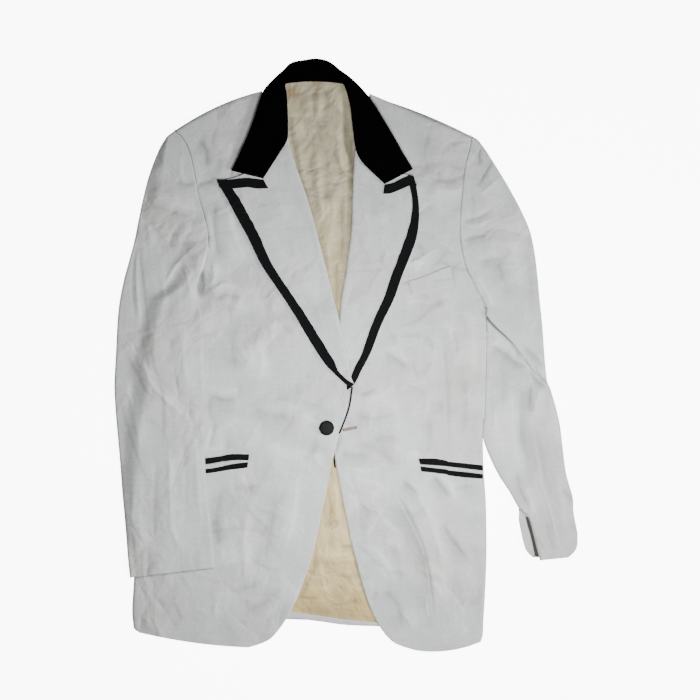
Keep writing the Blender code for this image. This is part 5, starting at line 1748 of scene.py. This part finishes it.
def vent_shade_finish():
    """Painted shade: a dark grey with a fine thread noise, for the sheet in the cuff vent's slot that stands
    for the open vent's shadowed gap.
    """
    material, tree = new_finish("dark grey vent twill")
    cut = add_node(tree, "ShaderNodeUVMap", uv_map="cut")
    threads = add_node(
        tree, "ShaderNodeMapping", {"Vector": cut.outputs["UV"], "Scale": (800.0, 800.0, 1.0)})
    twill = add_node(
        tree, "ShaderNodeTexNoise", {"Vector": threads.outputs["Vector"], "Scale": 1.0, "Detail": 2.0})
    coloured = add_node(
        tree, "ShaderNodeMix",
        {"Factor": twill.outputs["Fac"], "A": linear("#3A3A37"), "B": linear("#52514C")},
        data_type="RGBA")
    return dressed(material, {"Roughness": 0.85}, coloured.outputs["Result"])


# ---------------------------------------------------------------- camera, light and floor

def place_camera():
    camera_data = bpy.data.cameras.new("camera")
    camera_data.sensor_width = CAMERA_SENSOR
    camera_data.lens = CAMERA_SENSOR * (CAMERA_HEIGHT - CAMERA_FOCUS) / CAMERA_SPAN
    camera_data.clip_end = 20.0
    camera = bpy.data.objects.new("camera", camera_data)
    camera.location = (CAMERA_OVER[0] * MM, CAMERA_OVER[1] * MM, CAMERA_HEIGHT * MM)
    bpy.context.scene.collection.objects.link(camera)
    bpy.context.scene.camera = camera


def place_light(name, spot, aim, size, power, colour):
    light_data = bpy.data.lights.new(name, "AREA")
    light_data.shape = "DISK"
    light_data.size = size
    light_data.energy = power
    light_data.color = colour
    light = bpy.data.objects.new(name, light_data)
    light.location = spot
    light.rotation_euler = (Vector(aim) - Vector(spot)).to_track_quat("-Z", "Y").to_euler()
    light.visible_camera = False
    bpy.context.scene.collection.objects.link(light)


def light_studio():
    for name, spot, aim, size, power, colour in LIGHTS:
        place_light(name, spot, aim, size, power, colour)
    world = bpy.data.worlds.new("studio")
    world.use_nodes = True
    background = world.node_tree.nodes["Background"]
    background.inputs["Color"].default_value = linear("#FFFFFF")
    background.inputs["Strength"].default_value = WORLD_STRENGTH
    bpy.context.scene.world = world


def lay_floor():
    material, _ = new_finish("white paper sweep")
    dressed(material, {
        "Base Color": linear("#F6F6F6"), "Emission Color": linear("#FFFFFF"),
        "Emission Strength": FLOOR_GLOW, "Roughness": 1.0, "Specular IOR Level": 0.0})
    bm = bmesh.new()
    bmesh.ops.create_grid(bm, x_segments=1, y_segments=1, size=FLOOR_HALF)
    mesh = bpy.data.meshes.new("floor")
    bm.to_mesh(mesh)
    bm.free()
    mesh.materials.append(material)
    floor = bpy.data.objects.new("floor", mesh)
    bpy.context.scene.collection.objects.link(floor)
    floor.location.z = FLOOR_LEVEL
    floor.visible_diffuse = False


# ---------------------------------------------------------------- the jacket

place_camera()
light_studio()
lay_floor()

finishes = {
    "cloth": dinner_cloth(),
    "velvet": black_velvet(),
    "braid": ribbed_braid(),
    "lining": satin_lining(),
    "button": covered_button(),
    "buttonhole": buttonhole_twist(),
    "vent_lining": vent_shade_finish(),
}

made = {
    "back_right": flat_panel("right_back", BACK_RIGHT, back_top, CLOTH_WALL, "cloth", ["back_right"]),
    "back_left": flat_panel("left_back", BACK_LEFT, back_top, CLOTH_WALL, "cloth", ["back_left"]),
    "side_right": flat_panel(
        "right_side_body", SIDE_RIGHT_UNDER, on_surface, CLOTH_WALL, "cloth", ["side_panel_right"]),
    "side_left": flat_panel(
        "left_side_body", SIDE_LEFT_UNDER, on_surface, CLOTH_WALL, "cloth", ["side_panel_left"]),
    "lining": flat_panel(
        "back_lining_satin", LINING, lining_face, LINING_CLOTH, "lining", ["back_lining"], LINING_STEP,
        loose=lining_loose),
    "hem": flat_panel(
        "back_hem_turn_up", BACK_HEM, hem_face, LINING_WALL, "cloth", ["back_hem"], LINING_STEP),
    "front_right": front("right_front", FRONT_RIGHT, ["front_right"]),
    "front_left": front("left_front", FRONT_LEFT, ["front_left"]),
}

for side, rows, panel, gorge in (
        ("right", LAPEL_RIGHT, FRONT_RIGHT, GORGE_RIGHT), ("left", LAPEL_LEFT, FRONT_LEFT, GORGE_LEFT)):
    made[f"lapel_{side}"] = lapel(f"{side}_peak_lapel", rows, panel, [f"lapel_{side}"])
    made[f"lapel_braid_{side}"] = lapel_braid(
        f"{side}_lapel_braid", rows, panel, [f"lapel_braid_{side}"])
    made[f"gorge_{side}"] = strip(
        f"{side}_gorge_braid", gorge, on_lapel(panel, BRAID_WALL), BRAID_CLOTH, "braid",
        [f"gorge_braid_{side}"])
made["edge_right"] = edging(
    "right_closing_braid", EDGE_BRAID_RIGHT, FRONT_RIGHT, 1, ["edge_braid_right"])
made["edge_left"] = edging(
    "left_closing_braid", EDGE_BRAID_LEFT, FRONT_LEFT, -1, ["edge_braid_left"])
made["collar"] = collar("velvet_collar", COLLAR, ["collar", "collar_fall"])

made["sleeve_right"] = sleeve_top(
    "right_top_sleeve", SLEEVE_RIGHT, sleeve_rest, ARMHOLE_RIGHT,
    SLEEVE_RIGHT_CREASES + SMALL_SLEEVE_RIGHT, SLEEVE_RIGHT_UNREST, ["sleeve_right_top"])
made["under_right"] = sleeve_under(
    "right_under_sleeve", SLEEVE_RIGHT, sleeve_rest, ARMHOLE_RIGHT, ["sleeve_right_under"])
made["sleeve_left"] = sleeve_top(
    "left_top_sleeve", SLEEVE_LEFT, on_table, ARMHOLE_LEFT,
    SLEEVE_LEFT_CREASES + SMALL_SLEEVE_LEFT, SLEEVE_LEFT_UNREST, ["sleeve_left_top"], lapped=True)
made["under_left"] = sleeve_under(
    "left_under_sleeve", SLEEVE_LEFT_UNDER, on_table, ARMHOLE_LEFT, ["sleeve_left_under"], VENT_ROW)
made["vent"] = strip("cuff_vent_lap", VENT_FLAP, vent_face, CLOTH_WALL, "cloth", ["cuff_vent_flap"])
# Dark sheet in the cuff vent's slot: painted shade of the open vent's gap
made["vent_lining"] = strip(
    "cuff_vent_painted_shade", VENT_SHADE_SHEET, vent_shade_face, VENT_SHADE_WALL, "vent_lining", ["cuff_vent_lining"])

for side, strips, jet, panel in (
        ("right", HIP_BRAIDS_RIGHT, HIP_JET_RIGHT, FRONT_RIGHT),
        ("left", HIP_BRAIDS_LEFT, HIP_JET_LEFT, FRONT_LEFT)):
    for level, rows in strips.items():
        made[f"hip_{level}_{side}"] = strip(
            f"{side}_hip_pocket_{level}_braid", rows, on_front(panel, BRAID_WALL), BRAID_CLOTH, "braid",
            [f"hip_braid_{level}_{side}"])
    made[f"jet_{side}"] = strip(
        f"{side}_hip_pocket_jet", jet, on_front(panel, JET_WALL), JET_WALL, "cloth",
        [f"hip_jet_{side}"])
made["welt"] = strip(
    "chest_pocket_welt", CHEST_WELT, on_front(FRONT_LEFT, WELT_WALL), WELT_CLOTH, "cloth",
    ["chest_welt"])
made["button"] = button("closing_button", ["front_button"])
made["buttonhole"] = buttonhole("worked_buttonhole", ["buttonhole"])
